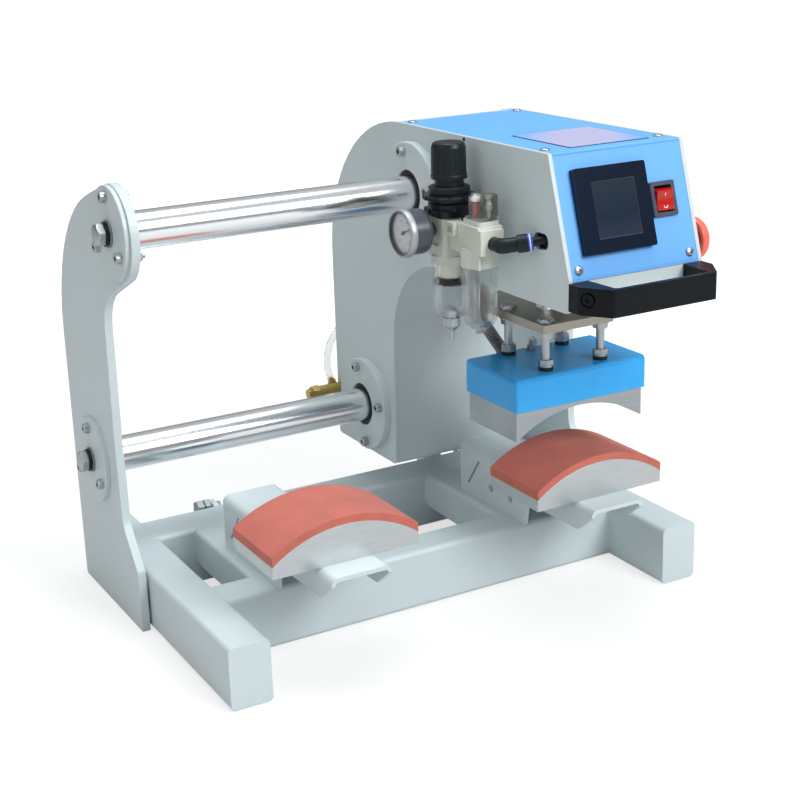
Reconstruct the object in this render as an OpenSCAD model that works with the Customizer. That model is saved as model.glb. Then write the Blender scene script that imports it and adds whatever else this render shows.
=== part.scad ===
// Two-station pneumatic cap heat press. Origin: middle of the footprint on the floor.
// +X runs right along the guide shafts, +Y to the back, +Z up. Millimetres.

/* [Base] */
// Overall width across the two feet
base_w = 512; // [480:4:560]
// Length of each foot, front to back
foot_len = 367; // [340:1:400]
// Width of the foot and front rail tube
tube_w = 40; // [40:1:44]
// Height of the foot and rail tube
tube_h = 60; // [56:1:60]
// Wall of every tube in the base
tube_wall = 3; // [2:0.5:4]
// Outer corner radius of the tubes
tube_r = 5; // [4:0.5:7]
// Set-back of the front rail behind the front of the feet
rail_back = 89; // [80:1:95]
// Width of the cross tubes that carry the two lower stations
cross_w = 80; // [70:1:90]
// Height of the cross tubes
cross_h = 40; // [30:1:50]

/* [End plates] */
// Thickness of the profiled end plates
plate_t = 8; // [6:0.5:8]
// Gap between a foot and its end plate, bridged by weld pads
plate_gap = 2.5; // [2:0.5:4]
// Diameter of the retaining cap on each shaft end
cap_d = 86; // [84:1:90]

/* [Guide shafts] */
// Diameter of both guide shafts
shaft_d = 35; // [35:0.5:36]
// Running clearance on the radius in the linear bushings
run_clear = 0.05; // [0.02:0.01:0.1]
// Distance of the upper shaft behind the origin
upper_y = 51.2; // [50:0.2:53]
// Height of the upper shaft
upper_z = 394.5; // [392:0.5:396]
// Distance of the lower shaft behind the origin
lower_y = 164.7; // [163:0.1:166]
// Height of the lower shaft
lower_z = 148.2; // [147:0.1:150]

/* [Carriage] */
// Outer width of the carriage over its side plates
head_w = 144; // [142:1:146]
// Thickness of the carriage side plates
side_t = 4; // [3:0.5:5]
// Sheet thickness of the covers
sheet_t = 2; // [1.5:0.5:3]
// Top of the head above the floor
head_top = 459.4; // [458:0.2:462]
// Underside of the head above the floor
head_bottom = 326.5; // [325:0.5:328]
// Radius of the big curve at the top of the back
back_r = 156; // [150:1:160]
// Radius of the curved throat under the gooseneck
throat_r = 92; // [85:1:95]

/* [Press] */
// Working stroke of the heated block
stroke = 40; // [30:1:40]
// Width of the heated block
block_w = 143; // [140:1:145]
// Depth of the heated block, front to back
block_d = 80.5; // [78:0.5:82]
// Radius of the hollow in the heated block
block_r = 121.7; // [120:0.1:124]
// Thickness of the plate that carries the heated block
press_plate_t = 8; // [6:1:10]

/* [Lower stations] */
// Distance of each station from the middle of the machine
station_x = 137.5; // [137:0.5:139]
// Width of a lower platen
platen_w = 145; // [143:0.5:146]
// Depth of a lower platen
platen_d = 82; // [80:0.5:84]
// Underside of the lower platens above the floor
platen_z = 113.4; // [112:0.2:115]
// Radius of the crowned top of the metal platen
platen_r = 120; // [118:1:122]
// Thickness of the silicone pad
pad_t = 7; // [6:0.5:7]

/* [Hidden] */
$fn = 48;
cx = 113.5;
cy = -82;
front_y = -123;
hw = head_w / 2;
xl = cx - hw;
xr = cx + hw;
hwx = base_w / 2;
plate_in = hwx + plate_gap;
plate_out = plate_in + plate_t;
rail_y0 = front_y + rail_back;
rail_y1 = rail_y0 + tube_w;
rear_y0 = 140;
rear_y1 = 190;
back_y = 236;
column_y = 105;
column_z = 94.5;
chin_y = -203.7;
chin_z = 355.4;
brow_y = -172.9;
tilt = atan((brow_y - chin_y) / (head_top - chin_z));
frl_x = 14;
frl_y = -58;
lub_y = -107;
port_z = 379;
stop_z = 49.5;
hose_y = 240;
hose_c = [82, 176];
hose_r = 51;
bolt_angles = [80, 170, 260, 350];
axes_yz = [[upper_y, upper_z], [lower_y, lower_z]];

// Points of a corner arc. A corner is [x, y, radius]; radius 0 keeps it sharp.
function unit2(v) = v / norm(v);
function corner(a, p, b) =
  let (u = unit2([a[0] - p[0], a[1] - p[1]]), w = unit2([b[0] - p[0], b[1] - p[1]]),
       half = acos(max(-1, min(1, u * w))) / 2, o = [p[0], p[1]])
  (p[2] == 0 || half > 89.5) ? [o] :
  let (c = o + unit2(u + w) * (p[2] / sin(half)), s = o + u * (p[2] / tan(half)) - c,
       e = o + w * (p[2] / tan(half)) - c, a0 = atan2(s[1], s[0]),
       turn = atan2(s[0] * e[1] - s[1] * e[0], s * e), n = max(3, ceil(abs(turn) / 7)))
  [for (i = [0:n]) c + p[2] * [cos(a0 + turn * i / n), sin(a0 + turn * i / n)]];
function rounded(p) = [for (i = [0:len(p) - 1]) each
  corner(p[(i + len(p) - 1) % len(p)], p[i], p[(i + 1) % len(p)])];
function arc(c, r, a0, a1, n) =
  [for (i = [0:n]) c + r * [cos(a0 + (a1 - a0) * i / n), sin(a0 + (a1 - a0) * i / n)]];

// Extrusions along X, and along Y, of a profile drawn as (Y, Z), and as (X, Z).
module along_x(x0, x1) translate([x0, 0, 0]) rotate([90, 0, 90]) linear_extrude(x1 - x0) children();
module along_y(y0, y1) translate([0, y1, 0]) rotate([90, 0, 0]) linear_extrude(y1 - y0) children();
// A cylinder along X between two places on the axis at (y, z).
module rod_x(x0, x1, y, z, r) translate([x0, y, z]) rotate([0, 90, 0]) cylinder(r = r, h = x1 - x0);
module rod_y(y0, y1, x, z, r) translate([x, y1, z]) rotate([90, 0, 0]) cylinder(r = r, h = y1 - y0);
module rod_z(z0, z1, x, y, r) translate([x, y, z0]) cylinder(r = r, h = z1 - z0);
module rrect(x0, y0, x1, y1, r) {
  translate([x0 + r, y0]) square([x1 - x0 - 2 * r, y1 - y0]);
  translate([x0, y0 + r]) square([x1 - x0, y1 - y0 - 2 * r]);
  for (x = [x0 + r, x1 - r], y = [y0 + r, y1 - r]) translate([x, y]) circle(r = r);
}
module tube2d(x0, y0, x1, y1, r, t) difference() {
  rrect(x0, y0, x1, y1, r);
  rrect(x0 + t, y0 + t, x1 - t, y1 - t, max(0.6, r - t));
}
// Hexagon prism with the given width across flats, along +Z.
module hex(af, h) cylinder(d = af / cos(30), h = h, $fn = 6);
// Socket screw head along +Z with its hexagon recess.
module socket_head(d, h) difference() {
  union() {
    cylinder(d = d, h = h - 0.6);
    translate([0, 0, h - 0.6]) cylinder(d1 = d, d2 = d - 1.2, h = 0.6);
  }
  translate([0, 0, h * 0.45]) hex(d * 0.46, h);
}
// Ring between two radii along +Z.
module ring(ro, ri, h) difference() {
  cylinder(r = ro, h = h);
  translate([0, 0, -1]) cylinder(r = ri, h = h + 2);
}

// Base
module feet() color("#d5e3e6") for (s = [-1, 1]) difference() {
  along_y(front_y, front_y + foot_len)
    rrect(s < 0 ? -hwx : hwx - tube_w, 0, s < 0 ? tube_w - hwx : hwx, tube_h, tube_r);
  along_y(front_y + tube_wall, front_y + foot_len - tube_wall)
    rrect((s < 0 ? -hwx : hwx - tube_w) + tube_wall, tube_wall,
      (s < 0 ? tube_w - hwx : hwx) - tube_wall, tube_h - tube_wall, tube_r - tube_wall + 0.2);
}
module stop_bracket(x0) difference() {
  along_x(x0, x0 + 6) polygon(rounded([[rear_y1, 22, 0], [rear_y1 + 31, 22, 8],
    [rear_y1 + 31, stop_z + 7.5, 8], [rear_y1 + 12, stop_z + 7.5, 6], [rear_y1, 46, 0]]));
  rod_x(x0 - 1, x0 + 7, rear_y1 + 22, stop_z, 5.2);
}
module rails() color("#d5e3e6") {
  along_x(tube_w - hwx, hwx - tube_w)
    tube2d(rail_y0, 0, rail_y1, tube_h, tube_r, tube_wall);
  along_x(tube_w - hwx, hwx - tube_w)
    tube2d(rear_y0, 0, rear_y1, tube_h, tube_r, tube_wall);
  stop_bracket(-132);
  stop_bracket(184.5);
}
module cross_tubes() color("#d5e3e6") for (s = [-1, 1]) along_y(rail_y1, rear_y0)
  tube2d(s * 138 - cross_w / 2, tube_h - cross_h, s * 138 + cross_w / 2, tube_h, tube_r, tube_wall);

// End plates: slim upright with a round lobe for the upper shaft
lobe_r = 45;
lobe_c = [upper_y - 1.5, upper_z - 1];
rear_r = 163.5;
rear_c = [231 - rear_r, 263.2];
lobe_v = lobe_c - rear_c;
// Where the straight between the lobe and the long rear curve touches both
touch = atan2(lobe_v[1], lobe_v[0]) - acos((rear_r - lobe_r) / norm(lobe_v));
function end_profile() = concat(
  rounded([[66, 0, 0], [66, 62, 12], [98, 100, 30], [101, 190, 200], [98.5, 323, 42],
           [lobe_c[0] - 24.5, lobe_c[1] - 37.7, 0]]),
  arc(lobe_c, lobe_r, 237, touch, 24),
  arc(rear_c, rear_r, touch, 0, 14),
  rounded([[231, 200, 0], [231, 0, 4], [66, 0, 0]]));
module end_plate(s) color("#ccd8da") {
  difference() {
    along_x(s < 0 ? -plate_out : plate_in, s < 0 ? -plate_in : plate_out)
      polygon(end_profile());
    for (a = axes_yz) {
      rod_x(-hwx - 20, hwx + 20, a[0], a[1], shaft_d / 2 + run_clear);
      for (k = [90, 210, 330])
        rod_x(-hwx - 20, hwx + 20, a[0] + 33 * cos(k), a[1] + 33 * sin(k), 3.4);
    }
  }
  // Weld pads that bridge the gap to the foot
  for (y = [72, 205], z = [8, 40])
    translate([s < 0 ? -plate_in : hwx, y, z]) cube([plate_gap, 14, 12]);
}
module left_end_plate() end_plate(-1);
module right_end_plate() end_plate(1);
module on_ends() for (a = axes_yz) {
  translate([plate_out, a[0], a[1]]) rotate([0, 90, 0]) children();
  mirror([1, 0, 0]) translate([plate_out, a[0], a[1]]) rotate([0, 90, 0]) children();
}
// Local frames on the ends have their z outwards; angles are set so that one screw is on top
module shaft_end_caps() color("#c9cfcf") on_ends() difference() {
  union() {
    cylinder(d = cap_d, h = 3.8);
    translate([0, 0, 3.8]) cylinder(d1 = cap_d, d2 = cap_d - 1.4, h = 0.7);
  }
  translate([0, 0, -1]) cylinder(r = 8.4, h = 8);
  for (k = [60, 180, 300]) rotate([0, 0, k]) translate([33, 0, -1]) cylinder(r = 3.4, h = 8);
}
module end_cap_screws() color("#b9bec2") on_ends()
  for (k = [60, 180, 300]) rotate([0, 0, k]) translate([33, 0, 0]) {
    translate([0, 0, 4.5]) socket_head(10, 5.6);
    translate([0, 0, -plate_t - 9]) cylinder(r = 3, h = plate_t + 14);
    translate([0, 0, -plate_t - 6]) difference() {
      hex(10, 6);
      translate([0, 0, -1]) cylinder(r = 2.9, h = 8);
    }
  }
module shaft_end_bolts() color("#c3c8cc") on_ends() {
  translate([0, 0, 4.5]) ring(12.4, 8.2, 2);
  translate([0, 0, 6.5]) ring(11, 8.2, 3);
  translate([0, 0, 9.5]) rotate([0, 0, 15]) intersection() {
    hex(19, 7);
    cylinder(r1 = 12, r2 = 9.9, h = 7);
  }
  translate([0, 0, -26]) cylinder(r = 7.9, h = 36);
}
module guide_shafts() color("#c9ced4") for (a = axes_yz) difference() {
  union() {
    rod_x(1.5 - plate_out, plate_out - 1.5, a[0], a[1], shaft_d / 2);
    translate([-plate_out, a[0], a[1]]) rotate([0, 90, 0])
      cylinder(r1 = shaft_d / 2 - 1.5, r2 = shaft_d / 2, h = 1.5);
    translate([plate_out - 1.5, a[0], a[1]]) rotate([0, 90, 0])
      cylinder(r1 = shaft_d / 2, r2 = shaft_d / 2 - 1.5, h = 1.5);
  }
  rod_x(-plate_out - 1, 35 - plate_out, a[0], a[1], 8);
  rod_x(plate_out - 35, plate_out + 1, a[0], a[1], 8);
}

// Lower stations: folded channel, crowned platen and silicone pad on each
module support(s) {
  x0 = s * station_x - 30;
  x1 = s * station_x + 30;
  difference() {
    intersection() {
      along_y(-150, 84) difference() {
        rrect(x0, 40, x1, platen_z, 7);
        rrect(x0 + 4, 30, x1 - 4, platen_z - 4, 3.2);
      }
      along_x(x0 - 1, x1 + 1) polygon(rounded([[84, 60, 0], [84, 120, 0], [-150, 120, 0],
        [-150, 106, 0], [-128, 88, 6], [-42, 86, 4], [-37, 60, 0]]));
    }
    for (y = [-11.2, 24.5]) rod_x(x0 - 1, x1 + 1, y, 80, 4.2);
    // Diagonal relief slit behind the platen
    along_x(x0 - 1, x1 + 1) polygon([[46, 102], [48.5, 102.5], [70, 73], [67.5, 72]]);
    for (y = [-105, -59]) rod_z(100, 120, s * station_x, y, 4.5);
  }
}
module platen_supports() color("#d5e3e6") { support(-1); support(1); }
module platen(s) color("#c9c9ca") difference() {
  along_y(front_y, front_y + platen_d) intersection() {
    translate([s * station_x - platen_w / 2, platen_z]) square([platen_w, 60]);
    translate([s * station_x, 149 - platen_r]) circle(r = platen_r, $fn = 180);
  }
  for (y = [-105, -59]) rod_z(platen_z - 1, platen_z + 16, s * station_x, y, 4);
}
module platen_screws() color("#9da2a6") for (s = [-1, 1], y = [-105, -59]) {
  rod_z(platen_z - 4.2, platen_z + 15, s * station_x, y, 3.96);
  translate([s * station_x, y, platen_z - 12]) hex(13, 8);
}
module left_platen() platen(-1);
module right_platen() platen(1);
module pad(s) color("#bf5f4c") along_y(front_y, front_y + platen_d) intersection() {
  translate([s * station_x - platen_w / 2, platen_z]) square([platen_w, 60]);
  translate([s * station_x, 149 - platen_r]) difference() {
    circle(r = platen_r + pad_t, $fn = 180);
    circle(r = platen_r + 0.02, $fn = 180);
  }
}
module left_pad() pad(-1);
module right_pad() pad(1);
// Adjustable travel stops behind the rear rail, one per station
module stop_bolt(tip, s) translate([tip, rear_y1 + 22, stop_z]) rotate([0, s * 90, 0]) {
  cylinder(r1 = 4, r2 = 4.9, h = 1);
  translate([0, 0, 1]) cylinder(r = 4.9, h = 20);
  translate([0, 0, 12.5]) difference() {
    hex(17, 6.2);
    translate([0, 0, -1]) cylinder(r = 4.85, h = 8);
  }
  translate([0, 0, 20]) hex(17, 7);
}
module stop_bolts() color("#9aa0a4") {
  stop_bolt(-119.8, -1);
  stop_bolt(178.3, 1);
}

// Carriage: gooseneck box on two shafts
back_c = [back_y - back_r, head_top - back_r];
throat_c = [column_y - 2 - throat_r, head_bottom - throat_r];
function side_profile() = concat(
  [[brow_y, head_top]],
  arc(back_c, back_r, 90, 0, 18),
  rounded([[back_y, 200, 0], [back_y, column_z, 5], [column_y + 2, column_z, 5],
           [column_y - 2, throat_c[1], 0]]),
  arc(throat_c, throat_r, 4, 86, 14),
  rounded([[throat_c[0], head_bottom, 0], [chin_y + 1, head_bottom, 4], [chin_y, chin_z, 6],
           [brow_y, head_top, 0]]));
module side_plate(x0) difference() {
  along_x(x0, x0 + side_t) polygon(side_profile());
  for (a = axes_yz) {
    rod_x(x0 - 1, x0 + side_t + 1, a[0], a[1], 26.2);
    for (k = bolt_angles)
      rod_x(x0 - 1, x0 + side_t + 1, a[0] + 41 * cos(k), a[1] + 41 * sin(k), 3.2);
  }
  rod_x(x0 - 1, x0 + side_t + 1, 34.4, 262.5, 1.6);
}
module carriage_left_plate() color("#ccd8da") difference() {
  side_plate(xl);
  along_x(xl - 1, xl + side_t + 1) rrect(-173.5, 376, -152.5, 390.5, 6.5);
  for (y = [-66, -50]) rod_x(xl - 1, xl + side_t + 1, y, 372, 2.6);
}
module carriage_right_plate() color("#ccd8da") difference() {
  side_plate(xr - side_t);
  rod_x(xr - side_t - 1, xr + 1, -165, 364.5, 11.2);
}
// Skin that follows the top of the back, the back and the floor of the column
function rear_path(o) = concat(arc(back_c, back_r - o, 88.4, 0, 18),
  rounded([[back_y - o, 200, 0], [back_y - o, column_z + o, 5], [column_y + 4, column_z + o, 0]]));
function skin(a, b) = concat(a, [for (i = [len(b) - 1:-1:0]) b[i]]);
module rear_cover() color("#ccd8da") {
  difference() {
    along_x(xl + side_t, xr - side_t) polygon(skin(rear_path(0.5), rear_path(0.5 + sheet_t)));
    rod_y(back_y - 10, back_y + 10, 96, hose_c[1] + hose_r, 6.2);
    rod_y(back_y - 10, back_y + 10, xr - 30, 140, 10.2);
  }
  // Stop lug hanging from the floor of the column
  difference() {
    along_x(131.5, 154) polygon(rounded([[204, column_z + 1, 0], [204, 40, 4], [220, 40, 4],
      [220, column_z + 1, 0]]));
    translate([138, 200, 66]) cube([9.5, 30, 18]);
  }
  // Gland for the supply cable, with its nut
  difference() {
    union() {
      rod_y(back_y - 12, back_y + 7.5, xr - 30, 140, 10);
      translate([xr - 30, back_y + 5, 140]) rotate([90, 0, 0]) hex(24, 5.5);
    }
    rod_y(back_y - 13, back_y + 8, xr - 30, 140, 4.5);
  }
}
function front_path(o) = concat(
  [[column_y + 2 + o, column_z + 3], [column_y - 2 + o, throat_c[1]]],
  arc(throat_c, throat_r + o, 4, 86, 14),
  [[throat_c[0], head_bottom + o], [-26, head_bottom + o]]);
module front_cover() color("#ccd8da") {
  along_x(xl + side_t, xr - side_t)
    polygon(skin(front_path(0.5), front_path(0.5 + sheet_t)));
  // Pale chin under the blue panel, folded back at its foot
  difference() {
    along_x(xl + side_t, xr - side_t) polygon([[chin_y, 353.4], [chin_y + 0.6, 328], [chin_y + 16, 328],
      [chin_y + 16, 330], [chin_y + 2.6, 330], [chin_y + 2, 353.4]]);
    for (s = [-1, 1]) rod_y(chin_y - 1, chin_y + 5, cx + s * 62.5, 341.5, 3.1);
  }
}
module top_panel() color("#7fbfff") difference() {
  translate([xl + side_t, brow_y, head_top - 0.4 - sheet_t]) cube([head_w - 2 * side_t, 84 - brow_y, sheet_t]);
  for (x = [-61, 61], y = [-153, 72]) rod_z(head_top - 5, head_top + 1, cx + x, y, 2.1);
}
// Frame on the slanted panel: x across from its middle, y up the slope from its top edge
module on_panel() translate([cx, brow_y, head_top]) rotate([90 - tilt, 0, 0]) children();
panel_len = (head_top - chin_z) / cos(tilt);
module front_panel() color("#7fbfff") {
  on_panel() translate([0, 0, -0.4 - sheet_t]) linear_extrude(sheet_t) difference() {
    translate([side_t - hw, -panel_len + 0.6]) square([head_w - 2 * side_t, panel_len - 3]);
    translate([-51.6, -88.7]) square([72, 72]);
    translate([29, -64.6]) square([22, 27]);
    for (x = [-60, 60]) translate([x, -100.5]) circle(r = 2.1);
  }
  // Lower edge, bent upright
  along_x(xl + side_t, xr - side_t) polygon([[chin_y + 0.2, 353.8], [chin_y + 2.2, 353.8],
    [chin_y + 3, 357], [chin_y + 1, 357]]);
}
module bushing_flanges() color("#ccd8da") for (a = axes_yz, s = [-1, 1])
  translate([cx + s * hw, a[0], a[1]]) rotate([0, s * 90, 0]) difference() {
    union() {
      cylinder(r = 50, h = 7);
      translate([0, 0, 7]) cylinder(r1 = 50, r2 = 49, h = 1);
    }
    translate([0, 0, -1]) cylinder(r = 23, h = 10);
    translate([0, 0, -1]) cylinder(r = 26.2, h = 5.2);
    for (k = bolt_angles) rotate([0, 0, (s > 0 ? 90 : -90) + s * k])
      translate([41, 0, -1]) cylinder(r = 3.2, h = 10);
  }
module linear_bushings() color("#55595e") for (a = axes_yz, s = [-1, 1])
  translate([cx + s * hw, a[0], a[1]]) rotate([0, s * 90, 0]) difference() {
    translate([0, 0, -64]) cylinder(r = 26, h = 68);
    translate([0, 0, -65]) cylinder(r = shaft_d / 2 + run_clear, h = 70);
    for (z = [-54, -8]) translate([0, 0, z]) ring(27, 25, 2);
  }
module bushing_screws() color("#b9bec2") for (a = axes_yz, s = [-1, 1], k = bolt_angles)
  translate([cx + s * hw, a[0] + 41 * cos(k), a[1] + 41 * sin(k)]) rotate([0, s * 90, 0]) {
    translate([0, 0, 8]) socket_head(10, 6);
    translate([0, 0, -10]) cylinder(r = 3, h = 18);
  }
module pan_head(r, h) rotate_extrude() polygon(concat([[0, 0], [r, 0]],
  [for (i = [0:5]) [r * cos(15 * i), h * 0.35 + h * 0.65 * sin(15 * i)]], [[0, h]]));
module panel_screws() color("#c6cacd") {
  for (x = [-61, 61], y = [-153, 72]) translate([cx + x, y, head_top - 0.4]) {
    pan_head(4.2, 2.4);
    translate([0, 0, -8]) cylinder(r = 2, h = 8.2);
  }
  on_panel() for (x = [-60, 60]) translate([x, -100.5, -0.4]) {
    pan_head(4.2, 2.4);
    translate([0, 0, -8]) cylinder(r = 2, h = 8.2);
  }
}
// Bow handle: wide mitred arms, thin front bar
module handle() color("#1d2023") difference() {
  translate([cx, 0, 329.5]) linear_extrude(24) difference() {
    polygon(rounded([[-hw, chin_y, 0], [-hw, -218, 5], [-55, -244, 4], [55, -244, 4],
      [hw, -218, 5], [hw, chin_y, 0]]));
    polygon(rounded([[-51.5, chin_y + 1, 0], [-49.5, -239, 3], [49.5, -239, 3],
      [51.5, chin_y + 1, 0]]));
  }
  for (s = [-1, 1]) {
    rod_y(-214.5, chin_y + 1, cx + s * 62.5, 341.5, 3.1);
    // Round cover of the fixing, ringed, on the mitre
    translate([cx + s * 67.6, -224.8, 343]) rotate([90, 0, s * 56.8]) {
      translate([0, 0, -2.4]) ring(6.6, 5, 4);
      translate([0, 0, -1.6]) hex(5, 4);
    }
  }
}
module handle_screws() color("#2b2e31") for (s = [-1, 1])
  translate([cx + s * 62.5, chin_y + 2.6, 341.5]) rotate([-90, 0, 0]) {
    socket_head(9.6, 6);
    translate([0, 0, -12.5]) cylinder(r = 2.9, h = 12.7);
  }
module controller_case() color("#17191d") on_panel() {
  translate([-15.6, -52.7, 0]) {
    difference() {
      translate([0, 0, -0.4]) linear_extrude(6) rrect(-37.9, -37.1, 37.9, 37.1, 2);
      translate([1.5, -0.4, 4.4]) linear_extrude(5) rrect(-23, -24.7, 23, 24.7, 0.8);
    }
    translate([0, 0, -44]) linear_extrude(43.6) rrect(-35.5, -35.5, 35.5, 35.5, 1.5);
    // Glass of the display
    translate([1.5, -0.4, 4.4]) linear_extrude(0.5) rrect(-22.8, -24.5, 22.8, 24.5, 0.8);
  }
}
module rocker_frame() color("#4b4d54") on_panel() translate([40, -51.1, 0]) difference() {
  union() {
    translate([0, 0, -0.4]) linear_extrude(2.4) rrect(-13, -15.5, 13, 15.5, 1.5);
    translate([0, 0, -24]) linear_extrude(23.6) rrect(-10.8, -13.3, 10.8, 13.3, 0.8);
  }
  translate([0, 0, -14]) linear_extrude(20) square([18.4, 23.4], center = true);
  translate([0, 0, -7]) rotate([0, 90, 0]) cylinder(r = 1.6, h = 20.8, center = true);
}
// Rocker on a pin across its frame
module rocker() color("#c8282a") on_panel() translate([40, -51.1, -7]) rotate([10, 0, 0]) {
  rotate([90, 0, 90]) linear_extrude(17.8, center = true) polygon(rounded([[-10.9, 3.4, 2],
    [-8.4, 11.6, 0.8], [0, 9.4, 24], [8.4, 11.6, 0.8], [10.9, 3.4, 2], [0, -4, 4]]));
  rotate([0, 90, 0]) cylinder(r = 1.55, h = 20.4, center = true);
}

// Emergency stop on the right side
module on_estop() translate([xr, -165, 364.5]) rotate([0, 90, 0]) children();
module estop_base() color("#33363a") on_estop() {
  difference() {
    rotate_extrude() polygon([[6.1, 0], [15, 0], [15, 5], [13.4, 10], [6.1, 10]]);
    for (k = [0, 90, 180, 270]) rotate([0, 0, k]) translate([15, 0, 2.5]) cube([1.4, 4, 6], center = true);
  }
  translate([0, 0, -12]) ring(11, 6.1, 12.2);
  translate([0, 0, -side_t - 5.5]) ring(15, 10.8, 5.5);
  translate([-15, -15, -42]) cube([30, 30, 30]);
}
module estop_stem() color("#8d9093") on_estop() translate([0, 0, -7.5]) cylinder(r = 6, h = 31.5);
// Mushroom button, hollow underneath so that it can close over its collar
module estop_head() color("#d9261c") on_estop() rotate_extrude() polygon(concat(
  [[0, 24.3], [6.05, 24.3], [6.05, 20.6], [9, 20.6], [9, 22.4], [16.4, 22.4], [16.4, 17.6], [17, 17.2],
   [19.4, 18], [20, 19.4]], [for (i = [0:7]) [20 * cos(11 * i), 22.5 + 9.2 * sin(11 * i)]], [[0, 31.7]]));

// Air cylinder over the press
module air_cylinder() color("#b8bcc0") difference() {
  translate([0, 0, 345]) linear_extrude(84) difference() {
    rrect(cx - 47, cy + 2 - 47, cx + 47, cy + 2 + 47, 6);
    for (x = [-38, 38], y = [-38, 38]) translate([cx + x, cy + 2 + y]) circle(r = 3.3);
  }
  rod_z(357, 414, cx, cy + 2, 40);
  rod_z(340, 358, cx, cy + 2, 12.55);
  for (z = [351, 421]) rod_y(cy - 60, cy - 30, cx - 14, z, 5);
}
module cylinder_plate() color("#aab0b3") difference() {
  translate([xl + side_t, cy + 2 - 52, 335]) cube([head_w - 2 * side_t, 104, 10]);
  rod_z(330, 350, cx, cy + 2, 14);
  for (x = [-38, 38], y = [-38, 38]) rod_z(330, 350, cx + x, cy + 2 + y, 3.3);
  rod_z(330, 350, 60.5, -38, 8);
}
module solenoid_valve() color("#3a3d42") {
  translate([xr - side_t - 3, 120, 244]) cube([3, 60, 52]);
  translate([xr - side_t - 25, 126, 254]) cube([22, 46, 30]);
  translate([xr - side_t - 23, 130, 284]) cube([18, 26, 22]);
  for (y = [136, 150, 164]) rod_x(xr - side_t - 33, xr - side_t - 24, y, 262, 5);
}

// Air preparation set on the left side plate
module frl_bracket() color("#23262a") {
  difference() {
    translate([frl_x + 17, frl_y - 18, 362]) cube([xl - frl_x - 17, 36, 20]);
    for (y = [-66, -50]) rod_x(frl_x + 16, xl + 1, y, 372, 2.6);
    translate([frl_x + 23, frl_y - 20, 367]) cube([20, 8, 20]);
    translate([frl_x + 23, frl_y + 12, 367]) cube([20, 8, 20]);
  }
  for (y = [-66, -50]) rod_x(frl_x + 17, xl + side_t + 2.5, y, 372, 2.58);
}
module filter_body() color("#d6d6cc") difference() {
  union() {
    translate([frl_x, frl_y, 358]) linear_extrude(36) rrect(-17, -17, 17, 17, 4);
    rod_y(frl_y - 17, frl_y + 26, frl_x, port_z - 1, 9.8);
    rod_z(350, 358, frl_x, frl_y, 18.4);
  }
  rod_y(frl_y + 14, frl_y + 30, frl_x, port_z - 1, 6.2);
  rod_z(349, 356, frl_x, frl_y, 15.2);
  // Recessed windows on the two long sides
  for (s = [-1, 1]) translate([frl_x + s * 17, frl_y, 376]) cube([2.4, 16, 16], center = true);
}
module regulator_bonnet() color("#1f2226") translate([frl_x, frl_y, 389]) difference() {
  union() {
    translate([0, 0, 5]) linear_extrude(6) rrect(-19, -19, 19, 19, 7);
    // Panel nut with its rim, under the waist and the collar of the knob
    rotate_extrude() polygon([[0, 5], [18.6, 5], [19.4, 6], [19.4, 16], [18.2, 17.5], [18.2, 19.6],
      [24, 19.8], [24.5, 20.4], [24.5, 23], [23.8, 23.6], [17.8, 23.8], [17.8, 25.2], [19, 26], [19, 30.4],
      [17.4, 31.4], [13.5, 31.8], [13.5, 41], [8, 41], [8, 48], [0, 48]]);
  }
  for (k = [0:30:330]) rotate([0, 0, k]) translate([24.6, 0, 21.6]) cube([2.4, 3, 7], center = true);
  for (k = [0, 180]) rotate([0, 0, k]) translate([-19, 0, 9]) cube([2.4, 10, 4], center = true);
}
// Fluted adjusting knob, a little wider at its foot
module regulator_knob() color("#191c20") translate([frl_x, frl_y, 427]) difference() {
  rotate_extrude() polygon([[0, 32.4], [0, 12], [8.4, 12], [8.4, 4.6], [13.9, 4.6], [13.9, 0],
    [16.6, 0], [16.6, 3], [16, 4], [15.6, 28], [14.4, 31.4], [12.8, 32.4]]);
  for (k = [0:20:340]) rotate([0, 0, k]) translate([16.7, 0, 5]) cylinder(r = 1.3, h = 40, $fn = 16);
}
module filter_bowl() color("#c9d3d6") translate([frl_x, frl_y, 0]) {
  rotate_extrude() polygon([[14.6, 354], [15, 354], [15, 349.8], [18, 349.8], [18, 334], [17, 332.5],
    [17, 306], [13.4, 300], [6.6, 298], [6.6, 300.4], [12.2, 302.2], [14.6, 306.6]]);
  // Filter element with its baffle
  rotate_extrude() polygon([[0, 356], [9, 356], [9, 336], [12.4, 334], [12.4, 330], [8, 328], [0, 328]]);
}
module drain_valve() color("#b9a15f") translate([frl_x, frl_y, 0]) difference() {
  rotate_extrude() polygon([[0, 306], [5, 306], [6.2, 304], [6.2, 297.6], [8.2, 297.4], [8.2, 290],
    [4.4, 286], [2, 285], [2, 276], [0, 276]]);
  for (k = [0:45:315]) rotate([0, 0, k]) translate([8.4, 0, 289]) cylinder(r = 1, h = 10, $fn = 16);
}
module lubricator_body() color("#d6d6cc") difference() {
  union() {
    translate([frl_x, lub_y - 2, 372]) linear_extrude(21) rrect(-13, -17, 13, 17, 1.5);
    translate([frl_x, lub_y - 1.5, 393]) linear_extrude(4) rrect(-9.5, -14.5, 12.5, 14.5, 4);
    translate([frl_x - 13.5, lub_y - 24, 369]) cube([24, 8, 22]);
    rod_z(355.5, 372.5, frl_x, lub_y, 16.6);
    // Skirt of the front corner
    translate([frl_x - 13, lub_y - 19, 355.6]) cube([2.6, 12, 17.4]);
    // Joint between the two modules, with its clamp plate above
    translate([frl_x - 11, lub_y + 14, 366]) cube([22, 17.6, 22.4]);
    translate([frl_x - 17.5, lub_y + 14.5, 381]) cube([34, 13.5, 12]);
  }
  rod_y(lub_y - 30, lub_y - 18, frl_x, port_z, 6.2);
  rod_z(354, 362, frl_x, lub_y, 13.6);
  translate([frl_x - 18, lub_y + 17, 384]) cube([4, 8, 6]);
}
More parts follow.
